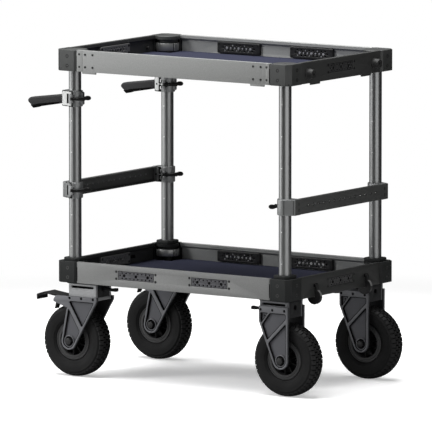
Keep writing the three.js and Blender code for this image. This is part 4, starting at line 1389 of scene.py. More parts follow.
@dataclass
class Fork:
    """One caster's fork: its legs, its crown, its axle's ends and its small screws."""

    tag: str
    kind: CasterKind
    seat: Seat
    wheel: float
    inner: float = 38.0
    outer: float = 50.0
    pocket: float = 7.0
    border: float = 6.0
    boss: float = 27.0
    boss_steps: int = 18
    ear: Outline = ((-93, 256), (-102, 245), (-102, 237))
    ear_roots: Point = (-46.0, -47.0)
    brace: Point = (12.4, 259.4)
    brace_angle: float = -52.5
    brace_width: float = 4.4
    upper_round: float = 7.0
    round: float = 6.0
    small_round: float = 3.0
    round_steps: int = 4
    back_bevel: float = 0.8
    leg_bevel: float = 1.3
    panel_sink: float = 0.5
    panel_proud: float = 0.2
    # The next size keeps the painted shade on the pockets' walls short of the leg's outer face.
    wall_short: float = 1.4
    axle: float = 8.0
    washer: float = 18.8
    washer_bore: float = 15.8
    washer_step: float = 2.5
    washer_bevel: float = 0.6
    washer_steps: int = 36
    shade: Stud = Stud(16.2, 0.0, 0.8, 0.1, 36)
    head: float = 11.6
    head_step: float = 4.0
    head_sides: int = 6
    head_start: float = 12.0
    head_bevel: float = 1.0
    small_pocket: float = 700.0
    # The next two sizes are the widths of the painted shade on the walls of large and small
    # pockets.
    wall: float = 2.0
    wall_small: float = 1.0
    shortest: float = 0.05
    bolt: Stud = Stud(4.4, 1.0, 0.35, 0.2, 16)
    rivet: Stud = Stud(2.2, 0.0, 0.8, 0.1, 12)
    rivet_spot: Point = (33.0, 251.7)
    crown_half: float = 52.0
    crown_foot: float = 246.0
    crown_top: float = 296.7
    cheek: float = 42.0
    cheek_inner: float = 33.0
    cheek_bevel: float = 1.2
    slot_half: float = 42.0
    slot_foot: float = 284.0
    slot_height: float = 6.5
    slot_corner: float = 2.5
    # The next sizes place near-black sheets in the crown's slots: painted shade.
    slot_shade_half: float = 41.0
    slot_shade_overlap: float = 0.4
    slot_shade_short: float = 1.3
    slot_shade_back: float = 0.9
    slot_shade_sink: float = 0.2
    front_bar: Numbers = (1.0, 0.4, 11.0, 6.0, 1.2)
    eye: Numbers = (0.0, 278.0, 8.0)
    core_low: float = 0.6
    core_high: float = 0.4
    core_back: float = 10.0
    core_front: float = 34.0
    core_half: float = 30.0
    core_bore: float = 9.6
    notch_half: float = 7.6
    notch_drop: float = 9.2
    fill: Numbers = (8.0, 2.0, 1.0)
    fill_overlap: float = 0.2
    wide_bevel: float = 0.6
    mid_bevel: float = 0.5
    thin_bevel: float = 0.3

    def build(self) -> None:
        """Build the fork."""
        self._legs()
        self._bolts()
        self._axle_ends()
        self._crown()

    @property
    def hub(self) -> Point:
        """Return the place of the axle in X and Z."""
        return (-self.kind.trail, self.wheel)

    @property
    def floor(self) -> float:
        """Return how far the pockets' floor lies from the middle."""
        return self.outer - self.pocket

    def _fit(self, solid: Solid, part: str, finish: Finish, *nodes: str) -> None:
        """Make a solid one of the caster's pieces."""
        solid.piece(f"caster_{part}_{self.tag}", finish, self.seat, *nodes)

    def _leg_outline(self) -> list[Point]:
        """Return a leg's convex outline in X and Z, anticlockwise."""
        kind = self.kind
        lead = tangent((kind.lead, kind.lead_shoulder), self.hub, self.boss, -1)
        back = tangent((kind.back, kind.back_shoulder), self.hub, self.boss, 1)
        top = [(kind.lead, kind.leg_top), (kind.back, kind.leg_top)]
        round_foot = circle(*self.hub, self.boss, self.boss_steps, back, lead + CIRCLE - back)
        shoulders = ((kind.back, kind.back_shoulder), (kind.lead, kind.lead_shoulder))
        return [*top, shoulders[0], *round_foot, shoulders[1]]

    def _foot_outline(self) -> list[Point]:
        """Return a leg's outline with its back edge carried straight up past the waist."""
        kind, (cx, cz) = self.kind, self.hub
        touch = tangent((kind.back, kind.back_shoulder), self.hub, self.boss, 1)
        turn = math.radians(touch)
        x, z = cx + self.boss * math.cos(turn), cz + self.boss * math.sin(turn)
        share = (kind.leg_top - z) / (kind.back_shoulder - z)
        outline = self._leg_outline()
        return [outline[0], (x + (kind.back - x) * share, kind.leg_top), *outline[3:]]

    def _with_ear(self) -> list[Point]:
        """Return a leg's outline, with the ear that carries a brake pedal if it has one."""
        outline = self._leg_outline()
        if not self.kind.braked:
            return outline
        upper, lower = self.ear_roots
        root, end = (upper, self.kind.leg_top), (lower, self.kind.back_shoulder)
        return [outline[0], root, *self.ear, end, *outline[2:]]

    def _pockets(self) -> list[list[Point]]:
        """Return the outlines of the pockets in a leg, with their corners rounded."""
        kind, steps = self.kind, self.round_steps
        hollow = inset(self._leg_outline(), self.border)
        below = left_of(hollow, (kind.lead, kind.band), (kind.back, kind.band), 0)
        rib = heading(kind.rib, kind.rib_angle)
        upper = left_of(below, kind.rib, rib, 0)
        foot = inset(self._foot_outline(), self.border) if kind.braked else hollow
        lower = soften(left_of(foot, rib, kind.rib, kind.rib_width), self.round, steps)
        if kind.braked:
            return [soften(upper, self.upper_round, steps), lower]
        brace = heading(self.brace, self.brace_angle)
        large = left_of(upper, brace, self.brace, 0)
        small = left_of(upper, self.brace, brace, self.brace_width)
        return [soften(large, self.round, steps), soften(small, self.small_round), lower]

    def _narrowed(self, pocket: Outline) -> list[Point]:
        """Pull a pocket's outline in by the width of the painted shade on its walls.

        Args:
            pocket: The pocket's outline.

        Returns:
            The smaller outline.
        """
        ring = list(pocket) if signed_area(pocket) > 0 else list(reversed(pocket))
        ring = [p for i, p in enumerate(ring) if math.dist(p, ring[i - 1]) > self.shortest]
        return inset(ring, self.wall if signed_area(ring) > self.small_pocket else self.wall_small)

    def _legs(self) -> None:
        """Build the two legs with their pockets, panels and axle."""
        legs, backs, panels, walls = Solid(), Solid(), Solid(), Solid()
        outline, pockets = self._with_ear(), self._pockets()
        for side in SIDES:
            behind, ahead = span(side, self.inner, self.floor), span(side, self.floor, self.outer)
            backs.slab(Axis.Y, outline, *behind, self.back_bevel)
            legs.slab(Axis.Y, outline, *ahead, self.leg_bevel, pockets, FINE)
            for pocket in pockets:
                panel = span(side, self.floor - self.panel_sink, self.floor + self.panel_proud)
                panels.slab(Axis.Y, pocket, *panel)
                # Near-black rings on the pockets' walls: painted shade.
                wall = span(side, self.floor, self.outer - self.wall_short)
                walls.slab(Axis.Y, pocket, *wall, holes=[self._narrowed(pocket)])
        backs.disc(Axis.Y, self.axle, -self.outer, self.outer, self.hub)
        self._fit(legs, "frame", FORK_METAL, "caster_fork_" + self.tag)
        # The legs' inner sides are darker: painted shade.
        self._fit(backs, "leg_backs", FORK_DARK)
        self._fit(panels, "panels", FORK_PANEL)
        self._fit(walls, "pocket_wall_shade", HOLE_DARK)

    def _axle_ends(self) -> None:
        """Build the ring washers and hexagon heads at the ends of the axle."""
        heads, washers, shades = Solid(), Solid(), Solid()
        ring = circle(*self.hub, self.washer, self.washer_steps)
        bore = circle(*self.hub, self.washer_bore, self.washer_steps)
        hexagon = circle(*self.hub, self.head, self.head_sides, self.head_start)
        for side in SIDES:
            ends = span(side, self.floor, self.outer - self.washer_step)
            washers.slab(Axis.Y, ring, *ends, self.washer_bevel, [bore])
            self.shade.on(shades, Axis.Y, self.floor, self.hub, side)
            ends = span(side, self.floor, self.outer + self.head_step)
            heads.slab(Axis.Y, hexagon, *ends, self.head_bevel)
        self._fit(heads, "axle_heads", LEVER_GREY)
        self._fit(washers, "axle_washers", FORK_METAL)
        self._fit(shades, "axle_shades", HOLE_DARK)

    def _bolts(self) -> None:
        """Build the small screws in the crown's band and in the small pocket."""
        made = Solid()
        for side in SIDES:
            for spot in self.kind.screws:
                self.bolt.on(made, Axis.Y, self.outer, spot, side)
            if not self.kind.braked:
                self.rivet.on(made, Axis.Y, self.floor, self.rivet_spot, side)
        self._fit(made, "bolts", HOLE_DARK)

    def _crown(self) -> None:
        """Build the crown: two slotted cheeks and the block between them."""
        finish = CROWN_METAL if self.kind.braked else FORK_METAL
        self._fit(self._cheeks(), "cheeks", finish)
        # The block between the cheeks is darker: painted shade.
        self._fit(self._core(), "crown", FORK_DARK)
        self._fit(self._slot_shades(), "slot_shade", HOLE_DARK)

    def _cheeks(self) -> Solid:
        """Return the crown's slotted cheeks, and the bar before them on a braked caster."""
        kind, foot, top = self.kind, self.crown_foot, self.crown_top
        lead, trail = kind.shift + self.crown_half, kind.shift - self.crown_half
        middle = self.slot_foot + self.slot_height * HALF
        size = (2 * self.slot_half, self.slot_height, self.slot_corner)
        slot, face = rounded(kind.shift, middle, *size), rectangle(trail, lead, foot, top)
        made = Solid()
        for side in SIDES:
            ends = span(side, self.cheek_inner, self.cheek)
            made.slab(Axis.Y, face, *ends, self.cheek_bevel, [slot], FINE)
        if kind.braked:
            trim, low, high, back, front = self.front_bar
            half = self.cheek - trim
            bar = rectangle(-half, half, foot + low, foot + high)
            made.slab(Axis.X, bar, lead - back, lead + front, self.back_bevel)
        return made

    def _slot_shades(self) -> Solid:
        """Return the shading in the crown's slots."""
        made, low = Solid(), self.slot_foot
        left, right = self.kind.shift - self.slot_shade_half, self.kind.shift + self.slot_shade_half
        for side in SIDES:
            near = self.cheek_inner - self.slot_shade_overlap
            ends = span(side, near, self.cheek - self.slot_shade_short)
            floor = rectangle(left, right, low - self.slot_shade_sink, low + self.slot_shade_back)
            made.slab(Axis.Y, floor, *ends)
            ends = span(side, self.cheek_inner, self.cheek_inner + self.slot_shade_back)
            made.slab(Axis.Y, rectangle(left, right, low, low + self.slot_height), *ends)
        return made

    def _core(self) -> Solid:
        """Return the block between the cheeks, with the notch for the swivel lock."""
        kind, made, near = self.kind, Solid(), self.cheek_inner
        lead, trail = kind.shift + self.crown_half, kind.shift - self.crown_half
        low, high = self.crown_foot + self.core_low, self.crown_top - self.core_high
        front, back, thin = self.core_front, trail + self.core_back, self.thin_bevel
        eye = [] if kind.braked else [circle(*self.eye)]
        wall = rectangle(-near, near, low, high)
        made.slab(Axis.X, wall, trail + self.core_low, back, self.wide_bevel, eye)
        block, bore = rectangle(back, front, -self.core_half, self.core_half), self.core_bore
        made.slab(Axis.Z, block, low, high, thin, [circle(0, 0, bore)])
        for side in SIDES:
            flank = rectangle(front, lead - self.core_low, *span(side, self.notch_half, near))
            made.slab(Axis.Z, flank, low, high, self.mid_bevel)
        notch = rectangle(front, lead - self.back_bevel, -self.notch_half, self.notch_half)
        made.slab(Axis.Z, notch, low, kind.lock - self.notch_drop, thin)
        ends, foot, top = self.fill
        fill = rectangle(trail + ends, lead - ends, self.crown_foot + foot, self.crown_top - top)
        for side in SIDES:
            made.slab(Axis.Y, fill, *span(side, self.core_half, near + self.fill_overlap), thin)
        return made


@dataclass(frozen=True)
class TreadRow:
    """One row of tread blocks.

    It reaches across the tyre from low to high, with tops at the radii near and far. The
    offset is its turn, as a share of a step, and side -1 puts it on the tyre's other side.
    """

    low: float
    high: float
    near: float
    far: float
    half: float
    offset: float
    side: int = 1
    sink: float = 6.0
    chamfer: float = 0.5

    def block(self) -> Solid:
        """Build one block at the top of a tyre whose axle runs along Y.

        Returns:
            The block, bent over the tyre's crown in its row.
        """
        out, cut = Solid(), self.chamfer
        made, ends = out.mesh, []
        for x, top in ((-self.half, cut - self.half), (self.half, self.half - cut)):
            profile = (
                (x, self.low, self.near - self.sink),
                (top, self.low + cut, self.near),
                (top, self.high - cut, self.far),
                (x, self.high, self.far - self.sink),
            )
            ends.append([made.verts.new(spot) for spot in profile])
        first, second = ends
        made.faces.new(first)
        made.faces.new(second[::-1])
        for i, here in enumerate(first):
            j = (i + 1) % len(first)
            made.faces.new((first[j], here, second[i], second[j]))
        bmesh.ops.recalc_face_normals(made, faces=made.faces)
        if self.side < 0:
            bmesh.ops.transform(made, matrix=Matrix.Diagonal((1, -1, 1, 1)), verts=made.verts)
            bmesh.ops.reverse_faces(made, faces=made.faces)
        return out


TREAD_ROWS = (
    TreadRow(-4.7, 4.7, 114.2, 114.2, 5.9, 0.0),
    TreadRow(7.1, 15.3, 114.1, 112.9, 5.9, 0.5),
    TreadRow(7.1, 15.3, 114.1, 112.9, 5.9, 0.5, -1),
    TreadRow(17.5, 29.4, 112.6, 106.6, 6.7, 0.0),
    TreadRow(17.5, 29.4, 112.6, 106.6, 6.7, 0.0, -1),
)


@dataclass
class Wheel:
    """One wheel: the rim, the hub with its windowed web, the tyre and its tread."""

    tag: str
    place: Matrix
    rim: Outline = (
        (46, -24), (45, -8), (45, 8), (46, 24), (47, 26), (52, 26), (53.5, 24.6), (57, 24.6),
        (58, 26), (60, 26), (61, 25), (61, 22), (53, 22), (53, -22), (61, -22), (61, -25),
        (60, -26), (58, -26), (57, -24.6), (53.5, -24.6), (52, -26), (47, -26),
    )
    rim_steps: int = 72
    hub: Outline = (
        (8.6, -36), (8.6, 36), (14, 36), (15, 35), (16, 30), (20, 27), (20, -27), (16, -30),
        (15, -35), (14, -36),
    )
    hub_steps: int = 40
    web_radius: float = 45.4
    web_steps: int = 60
    web_half: float = 4.5
    web_bevel: float = 0.8
    web_bore: float = 15.0
    web_bore_steps: int = 30
    window_count: int = 5
    window_half: float = 22.0
    window_outer: float = 40.5
    window_inner: float = 27.0
    window_steps: Point = (5, 4)
    window_round: float = 2.5
    fin_count: int = 10
    fin_root: float = 19.0
    fin_thick: float = 1.6
    fin_half: float = 21.0
    fin_bevel: float = 0.6
    carcass: Outline = (
        (53.3, 21.7), (61.3, 21.7), (62.5, 24.5), (66, 27.2), (70, 28.8), (71, 30.0), (74, 30.6),
        (80, 32.2), (88, 33.0), (95, 32.4), (98, 32.8), (101, 31.4), (104, 28.0), (107, 20.5),
        (109, 13), (109.6, 0),
    )
    groove: Outline = (
        (103.5, 28.8), (107.4, 21), (109.5, 13), (110.0, 0), (109.5, -13), (107.4, -21),
        (103.5, -28.8), (102, 0),
    )
    tyre_steps: int = 96
    tread_steps: int = 44

    def build(self) -> None:
        """Build the wheel."""
        seat = Seat("wheel_" + self.tag, self.place)
        rim = Solid().turned(Axis.Y, self.rim, self.rim_steps)
        rim.piece("wheel_rim_ring_" + self.tag, RIM_DARK, seat, "wheel_rim_" + self.tag)
        # The hub and web are near-black: painted shade inside the wheel.
        self._web().piece("wheel_web_" + self.tag, WEB_BLACK, seat)
        ring = [*((r, -y) for r, y in self.carcass), *reversed(self.carcass[:-1])]
        carcass = Solid().turned(Axis.Y, ring, self.tyre_steps)
        carcass.piece("tyre_carcass_" + self.tag, TYRE_RUBBER, seat, "tyre_" + self.tag)
        groove = Solid().turned(Axis.Y, self.groove, self.tyre_steps)
        groove.piece("tyre_groove_" + self.tag, TREAD_GROOVE, seat)
        self._tread().piece("tyre_tread_" + self.tag, TREAD_RUBBER, seat)

    def _window(self, middle: float) -> list[Point]:
        """Draw one window of the web.

        Args:
            middle: The angle of its middle, in degrees.

        Returns:
            Its outline.
        """
        half, (outer, inner) = self.window_half, self.window_steps
        arc = circle(0, 0, self.window_outer, outer, middle - half, 2 * half)
        arc += circle(0, 0, self.window_inner, inner, middle + half, -2 * half)
        return soften(arc, self.window_round)

    def _web(self) -> Solid:
        """Return the hub with its windowed web and its fins."""
        made = Solid().turned(Axis.Y, self.hub, self.hub_steps)
        step = CIRCLE / self.window_count
        holes = [circle(0, 0, self.web_bore, self.web_bore_steps)]
        holes += [self._window(i * step - QUARTER) for i in range(self.window_count)]
        disc, half = circle(0, 0, self.web_radius, self.web_steps), self.web_half
        made.slab(Axis.Y, disc, -half, half, self.web_bevel, holes)
        outline = rectangle(self.fin_root, self.web_radius, -self.fin_thick, self.fin_thick)
        for i in range(self.fin_count):
            fin = Solid().slab(Axis.Y, outline, -self.fin_half, self.fin_half, self.fin_bevel)
            made.add(fin, spun(FULL_TURN * (i + HALF) / self.fin_count, Axis.Y))
        return made

    def _tread(self) -> Solid:
        """Return the rows of tread blocks."""
        made, count = Solid(), self.tread_steps
        blocks = [(row.offset, row.block()) for row in TREAD_ROWS]
        for i in range(count):
            for offset, block in blocks:
                made.add(block, spun(FULL_TURN * (i + offset) / count, Axis.Y))
        return made


@dataclass
class Casters:
    """The four casters, each with its wheel, its swivel lock and, on the left, its brake pedal."""

    inset_x: float = 32.0
    inset_y: float = 28.0
    wheel: float = 114.3
    blade: Outline = (
        (0, -3.5), (46, -9.5), (62, -9.5), (62, 1.5), (52, 1.0), (40, -1), (0, 3.5),
    )
    blade_x: float = 46.0
    blade_half: float = 7.0
    blade_bevel: float = 1.6
    blade_pin: float = 4.4
    tread: Outline = (
        (24, 5), (-60, 16), (-92, 6), (-92, -11), (-86, -11), (-86, 0.5), (-60, 9.5), (24, -3),
    )
    tread_half: float = 27.0
    tread_bevel: float = 1.5
    shoe: Outline = ((-11, 3), (-25, 3), (-36.2, -38.5), (-30.4, -38.5))
    shoe_half: float = 9.0
    shoe_bevel: float = 1.2
    shoe_round: float = 2.0
    pedal_pin: float = 4.0
    pedal_pin_half: float = 37.6
    pedal_spot: Point = (-90.0, 246.0)
    edge_round: float = 2.5
    pin_edge: float = 0.4

    def build(self) -> None:
        """Build the four casters."""
        for corner in CORNERS:
            tag, kind = corner.tag, BRAKED if corner.sx < 0 else PLAIN
            x, y = corner.sx * (MAST_X - self.inset_x), corner.sy * (MAST_Y - self.inset_y)
            place = moved(x, y) @ spun(0.0 if corner.sx < 0 else math.pi)
            Fork(tag, kind, Seat("caster_" + tag, place), self.wheel).build()
            Wheel(tag, place @ moved(-kind.trail, 0, self.wheel)).build()
            name = "swivel_lock_" + tag
            seat = Seat(name, place @ moved(self.blade_x, 0, kind.lock))
            self._lock().piece(name + "_blade", PEDAL_BLACK, seat, name)
            if kind.braked:
                name, (x, z) = "brake_pedal_" + tag, self.pedal_spot
                seat = Seat(name, place @ moved(x, 0, z))
                self._pedal().piece(name + "_plate", PEDAL_BLACK, seat, name)

    def _lock(self) -> Solid:
        """Return a swivel lock's blade, drawn about its pin."""
        outline, half = soften(self.blade, self.edge_round), self.blade_half
        made = Solid().slab(Axis.Y, outline, -half, half, self.blade_bevel, rounds=FINE)
        return made.disc(Axis.Y, self.blade_pin, -half, half, edge=self.pin_edge)

    def _pedal(self) -> Solid:
        """Return a brake pedal with its plate and its shoe, drawn about its pin."""
        half, reach = self.tread_half, self.pedal_pin_half
        tread, shoe = soften(self.tread, self.edge_round), soften(self.shoe, self.shoe_round)
        made = Solid().slab(Axis.Y, tread, -half, half, self.tread_bevel)
        made.slab(Axis.Y, shoe, -self.shoe_half, self.shoe_half, self.shoe_bevel)
        return made.disc(Axis.Y, self.pedal_pin, -reach, reach, edge=self.pin_edge)


@dataclass(frozen=True)
class Patch:
    """A small raised plate on a jaw's flank.

    Its run is the distance from the face's edge along the flank and on round the ring.
    """

    run: float
    z: float
    width: float
    height: float
    lift: float


BOLT_ROW = ((37, 9.2), (42.2, 7.1), (47.4, 5.0), (52.6, 2.9))
FLANK_SHADE = Patch(14, 0, 25, 48.6, 0.7)
SLOTTED_FACE = (
    Patch(14, 0, 21, 44.5, 1.9),
    *(Patch(run, side * 18.8, 7.5, 6.6, 1.9) for side in SIDES for run in (27, 33, 38.5)),
)
SLOTTED_MARKS = (
    FLANK_SHADE,
    Patch(46.5, -13.5, 2.8, 21, 0.9), Patch(41, -23.4, 12, 3, 0.9),
    Patch(46.5, 13.5, 2.8, 21, 0.9), Patch(41, 23.4, 12, 3, 0.9),
    Patch(27.4, 0, 5.2, 30, 1.2),
)
BOLTED_FACE = (
    Patch(12.5, 0, 18, 43, 1.9),
    *(Patch(31.5, side * 11.2, 7, 10, 2.2) for side in SIDES),
    *(Patch(run, 0, 9, 2.6, 2.6) for run in (22, 30, 38)),
)
BOLTED_MARKS = (
    FLANK_SHADE,
    Patch(27, 0, 9, 48, 0.8), Patch(12.5, -0.5, 6, 6, 2.2),
    *(Patch(run, side * z, 6.5, 8, 2.4) for side in SIDES for run, z in BOLT_ROW),
)
END_STRIPS = (Patch(3, 0, 4.5, 45.5, 0.5), Patch(41, 0, 4.5, 45.5, 0.5))
END_SEAMS = (Patch(7, 0, 1.4, 45.5, 0.5), Patch(36.5, 0, 1.4, 45.5, 0.5))


@dataclass(frozen=True)
class Jaw:
    """A split jaw round a mast, drawn with its flat face towards +X, its front towards -Y."""

    face: float
    front: float
    back: float
    radius: float = 24.5
    steps: int = 28
    half: float = 25.0
    bevel: float = 2.4
    bore: float = 19.8
    bore_steps: int = 40
    ear: Numbers = (-11.5, -0.5, -29.0, -22.0)
    ear_ends: Point = (5.3, 13.3)
    ear_spot: Point = (-6.0, -29.0)
    ear_radius: float = 5.5
    ear_bevel: float = 0.8
    ear_round: float = 2.0
    patch_sink: float = 0.6
    patch_round: float = 0.22
    patch_edge: float = 1.0

    def solid(self, flip: int = 1) -> Solid:
        """Build the jaw with the ears that hold the lever's root.

        Args:
            flip: -1 to mirror the jaw, but not its ears, in Y.

        Returns:
            The jaw.
        """
        low = tangent((self.face, -self.front), (0, 0), self.radius, -1)
        high = tangent((self.face, self.back), (0, 0), self.radius, 1)
        ring = circle(0, 0, self.radius, self.steps, high, low + CIRCLE - high)
        outline = [(self.face, -self.front), (self.face, self.back), *ring]
        if flip < 0:
            outline = [(x, -y) for x, y in outline]
        bore = circle(0, 0, self.bore, self.bore_steps)
        made = Solid().slab(Axis.Z, outline, -self.half, self.half, self.bevel, [bore], FINE)
        return made.add(self._ears())

    def _ears(self) -> Solid:
        """Return the ears that hold the lever's root."""
        made, outline = Solid(), soften(rectangle(*self.ear), self.ear_round)
        for side in SIDES:
            ends = span(side, *self.ear_ends)
            made.slab(Axis.Z, outline, *ends, self.ear_bevel)
            made.disc(Axis.Z, self.ear_radius, *ends, self.ear_spot, self.ear_bevel)
        return made

    def patches(self, patches: Sequence[Patch]) -> Solid:
        """Lay raised plates on the jaw's flank.

        Args:
            patches: The plates.

        Returns:
            The plates as one solid.
        """
        made = Solid()
        reach = math.hypot(self.face, self.front)
        flat = math.sqrt(reach**2 - self.radius**2)
        touch = math.atan2(-self.front, self.face) - math.acos(self.radius / reach)
        for patch in patches:
            angle = touch - max(0.0, patch.run - flat) / self.radius
            outward = Vector((math.cos(angle), math.sin(angle), 0))
            along = Vector((outward.y, -outward.x, 0))
            spot = outward * self.radius
            if patch.run <= flat:
                spot = Vector((self.face, -self.front, 0)) + along * patch.run
            lie = Matrix((along, outward, (0, 0, 1))).transposed().to_4x4()
            corner = min(patch.width, patch.height) * self.patch_round
            outline = rounded(0, patch.z, patch.width, patch.height, corner)
            bevel = min(patch.lift, self.patch_edge) * HALF
            plate = Solid().slab(Axis.Y, outline, -self.patch_sink, patch.lift, bevel)
            made.add(plate, Matrix.Translation(spot) @ lie)
        return made

    def dress(self, name: str, tag: str, finish: Finish, seat: Seat, slotted: bool) -> None:
        """Dress the flank with its pale plate and its dark marks.

        Args:
            name: First words of the pieces' names.
            tag: Last word of the pieces' names.
            finish: Finish of the plate.
            seat: The jaw's seat.
            slotted: Whether the plate is slotted, or shows its pin and bolts.
        """
        face, marks = BOLTED_FACE, BOLTED_MARKS
        if slotted:
            face, marks = SLOTTED_FACE, SLOTTED_MARKS
        self.patches(face).piece(f"{name}_face_plate_{tag}", finish, seat)
        self.patches(marks).piece(f"{name}_face_marks_{tag}", HOLE_DARK, seat)


@dataclass
class CamLever:
    """A cam lever with its paddle end and its rivet, which closes a jaw."""

    spot: Place = (-6.0, -29.0, 0.0)
    turn: float = 155.2
    shank: Outline = (
        (-4.4, -3.2), (14, -3.4), (34, -3.2), (44, -4), (44, 4), (34, 3.2), (14, 3.2), (-4.4, 3.2),
    )
    shank_half: float = 4.6
    shank_round: float = 3.0
    shank_bevel: float = 2.0
    rise: Outline = (
        (16, -4.4), (40, -1), (46, -2.6), (56, -3), (62, 0), (62.5, 6), (58, 11), (48, 11.5),
        (40, 8), (16, 4.4),
    )
    rise_half: float = 4.4
    rise_round: float = 4.0
    rise_bevel: float = 2.2
    root: float = 4.4
    root_edge: float = 0.6
    rivet: Numbers = (3.5, -0.4, 8.5, 4.2, 2.0)
    rivet_ends: Point = (2.4, 3.1)
    rivet_bevel: float = 0.3

    def build(self, name: str, place: Matrix, tip: int = 1) -> None:
        """Build and place one lever.

        Args:
            name: The lever's name, which its body has too.
            place: Place of its jaw.
            tip: 1 for a paddle that rises, -1 for one that drops.
        """
        turned = moved(*self.spot) @ spun(math.radians(self.turn))
        seat = Seat(name, place @ turned)
        shank, half = soften(self.shank, self.shank_round), self.shank_half
        made = Solid().slab(Axis.Z, shank, -half, half, self.shank_bevel, rounds=FINE)
        rise = soften([(x, tip * z) for x, z in self.rise], self.rise_round)
        made.slab(Axis.Y, rise, -self.rise_half, self.rise_half, self.rise_bevel, rounds=FINE)
        made.disc(Axis.Z, self.root, -half, half, edge=self.root_edge)
        made.piece(name + "_paddle", BLACK_STEEL, seat, name)
        rivet = Solid()
        for side in SIDES:
            ends = span(side, *self.rivet_ends)
            rivet.slab(Axis.Y, rounded(*self.rivet), *ends, self.rivet_bevel)
        rivet.piece(name + "_rivet", EDGE_GREY, seat)


@dataclass
class Handles:
    """The two push handles, each with its jaw, its face plate and its grip."""

    z: float = 879.0
    jaw: Jaw = Jaw(39.0, 15.0, 15.0)
    bulge_outer: Numbers = (29.6, 12, 112, 68)
    bulge_inner: Numbers = (21, 8, 200, -108)
    bulge_half: float = 19.5
    bulge_bevel: float = 3.0
    grip: Outline = (
        (43.3, -17), (136, -33), (149, -38), (175, -17), (166, -5), (43.3, 11),
    )
    grip_round: float = 9.0
    grip_steps: int = 5
    grip_half: float = 15.0
    grip_bevel: float = 6.5
    neck: Numbers = (-2.0, -3.0, 26.0, 25.0, 7.0)
    neck_ends: Point = (39.3, 52.0)
    neck_bevel: float = 1.0
    pad: Outline = (
        (52, -19.4), (136, -34.0), (149.4, -38.8), (161, -29.0), (150, -28.0), (136, -23.8),
        (52, -12.6),
    )
    pad_round: float = 3.0
    pad_half: float = 15.6
    pad_bevel: float = 1.6

    def build(self) -> None:
        """Build and place the handles with their levers."""
        for tag, side in (("front", -1), ("back", 1)):
            place = moved(-MAST_X, side * MAST_Y, self.z) @ Matrix.Diagonal((-1, 1, 1, 1))
            seat = Seat("handle_" + tag, place)
            self._clamp().piece("handle_jaw_" + tag, CLAMP_METAL, seat, "handle_clamp_" + tag)
            self.jaw.dress("handle", tag, CLAMP_SILVER, seat, tag == "front")
            self._grip().piece("handle_shell_" + tag, GRIP_SOFT, seat, "handle_grip_" + tag)
            self._pad().piece("handle_pad_" + tag, GRIP_PAD, seat)
            CamLever().build("handle_lever_" + tag, place)

    def _clamp(self) -> Solid:
        """Return the jaw with its bulge."""
        bulge = circle(0, 0, *self.bulge_outer) + circle(0, 0, *self.bulge_inner)
        made, half = self.jaw.solid(), self.bulge_half
        return made.slab(Axis.Z, bulge, -half, half, self.bulge_bevel, rounds=FINE)

    def _grip(self) -> Solid:
        """Return the grip with the neck that joins it to its jaw."""
        steps, half = self.grip_steps, self.grip_half
        outline = soften(self.grip, self.grip_round, steps)
        made = Solid().slab(Axis.Y, outline, -half, half, self.grip_bevel, rounds=steps)
        return made.slab(Axis.X, rounded(*self.neck), *self.neck_ends, self.neck_bevel)

    def _pad(self) -> Solid:
        """Return the near-black strip along the grip's underside, which makes the grip darker
        below.
        """
        outline, half = soften(self.pad, self.pad_round), self.pad_half
        return Solid().slab(Axis.Y, outline, -half, half, self.pad_bevel, rounds=FINE)


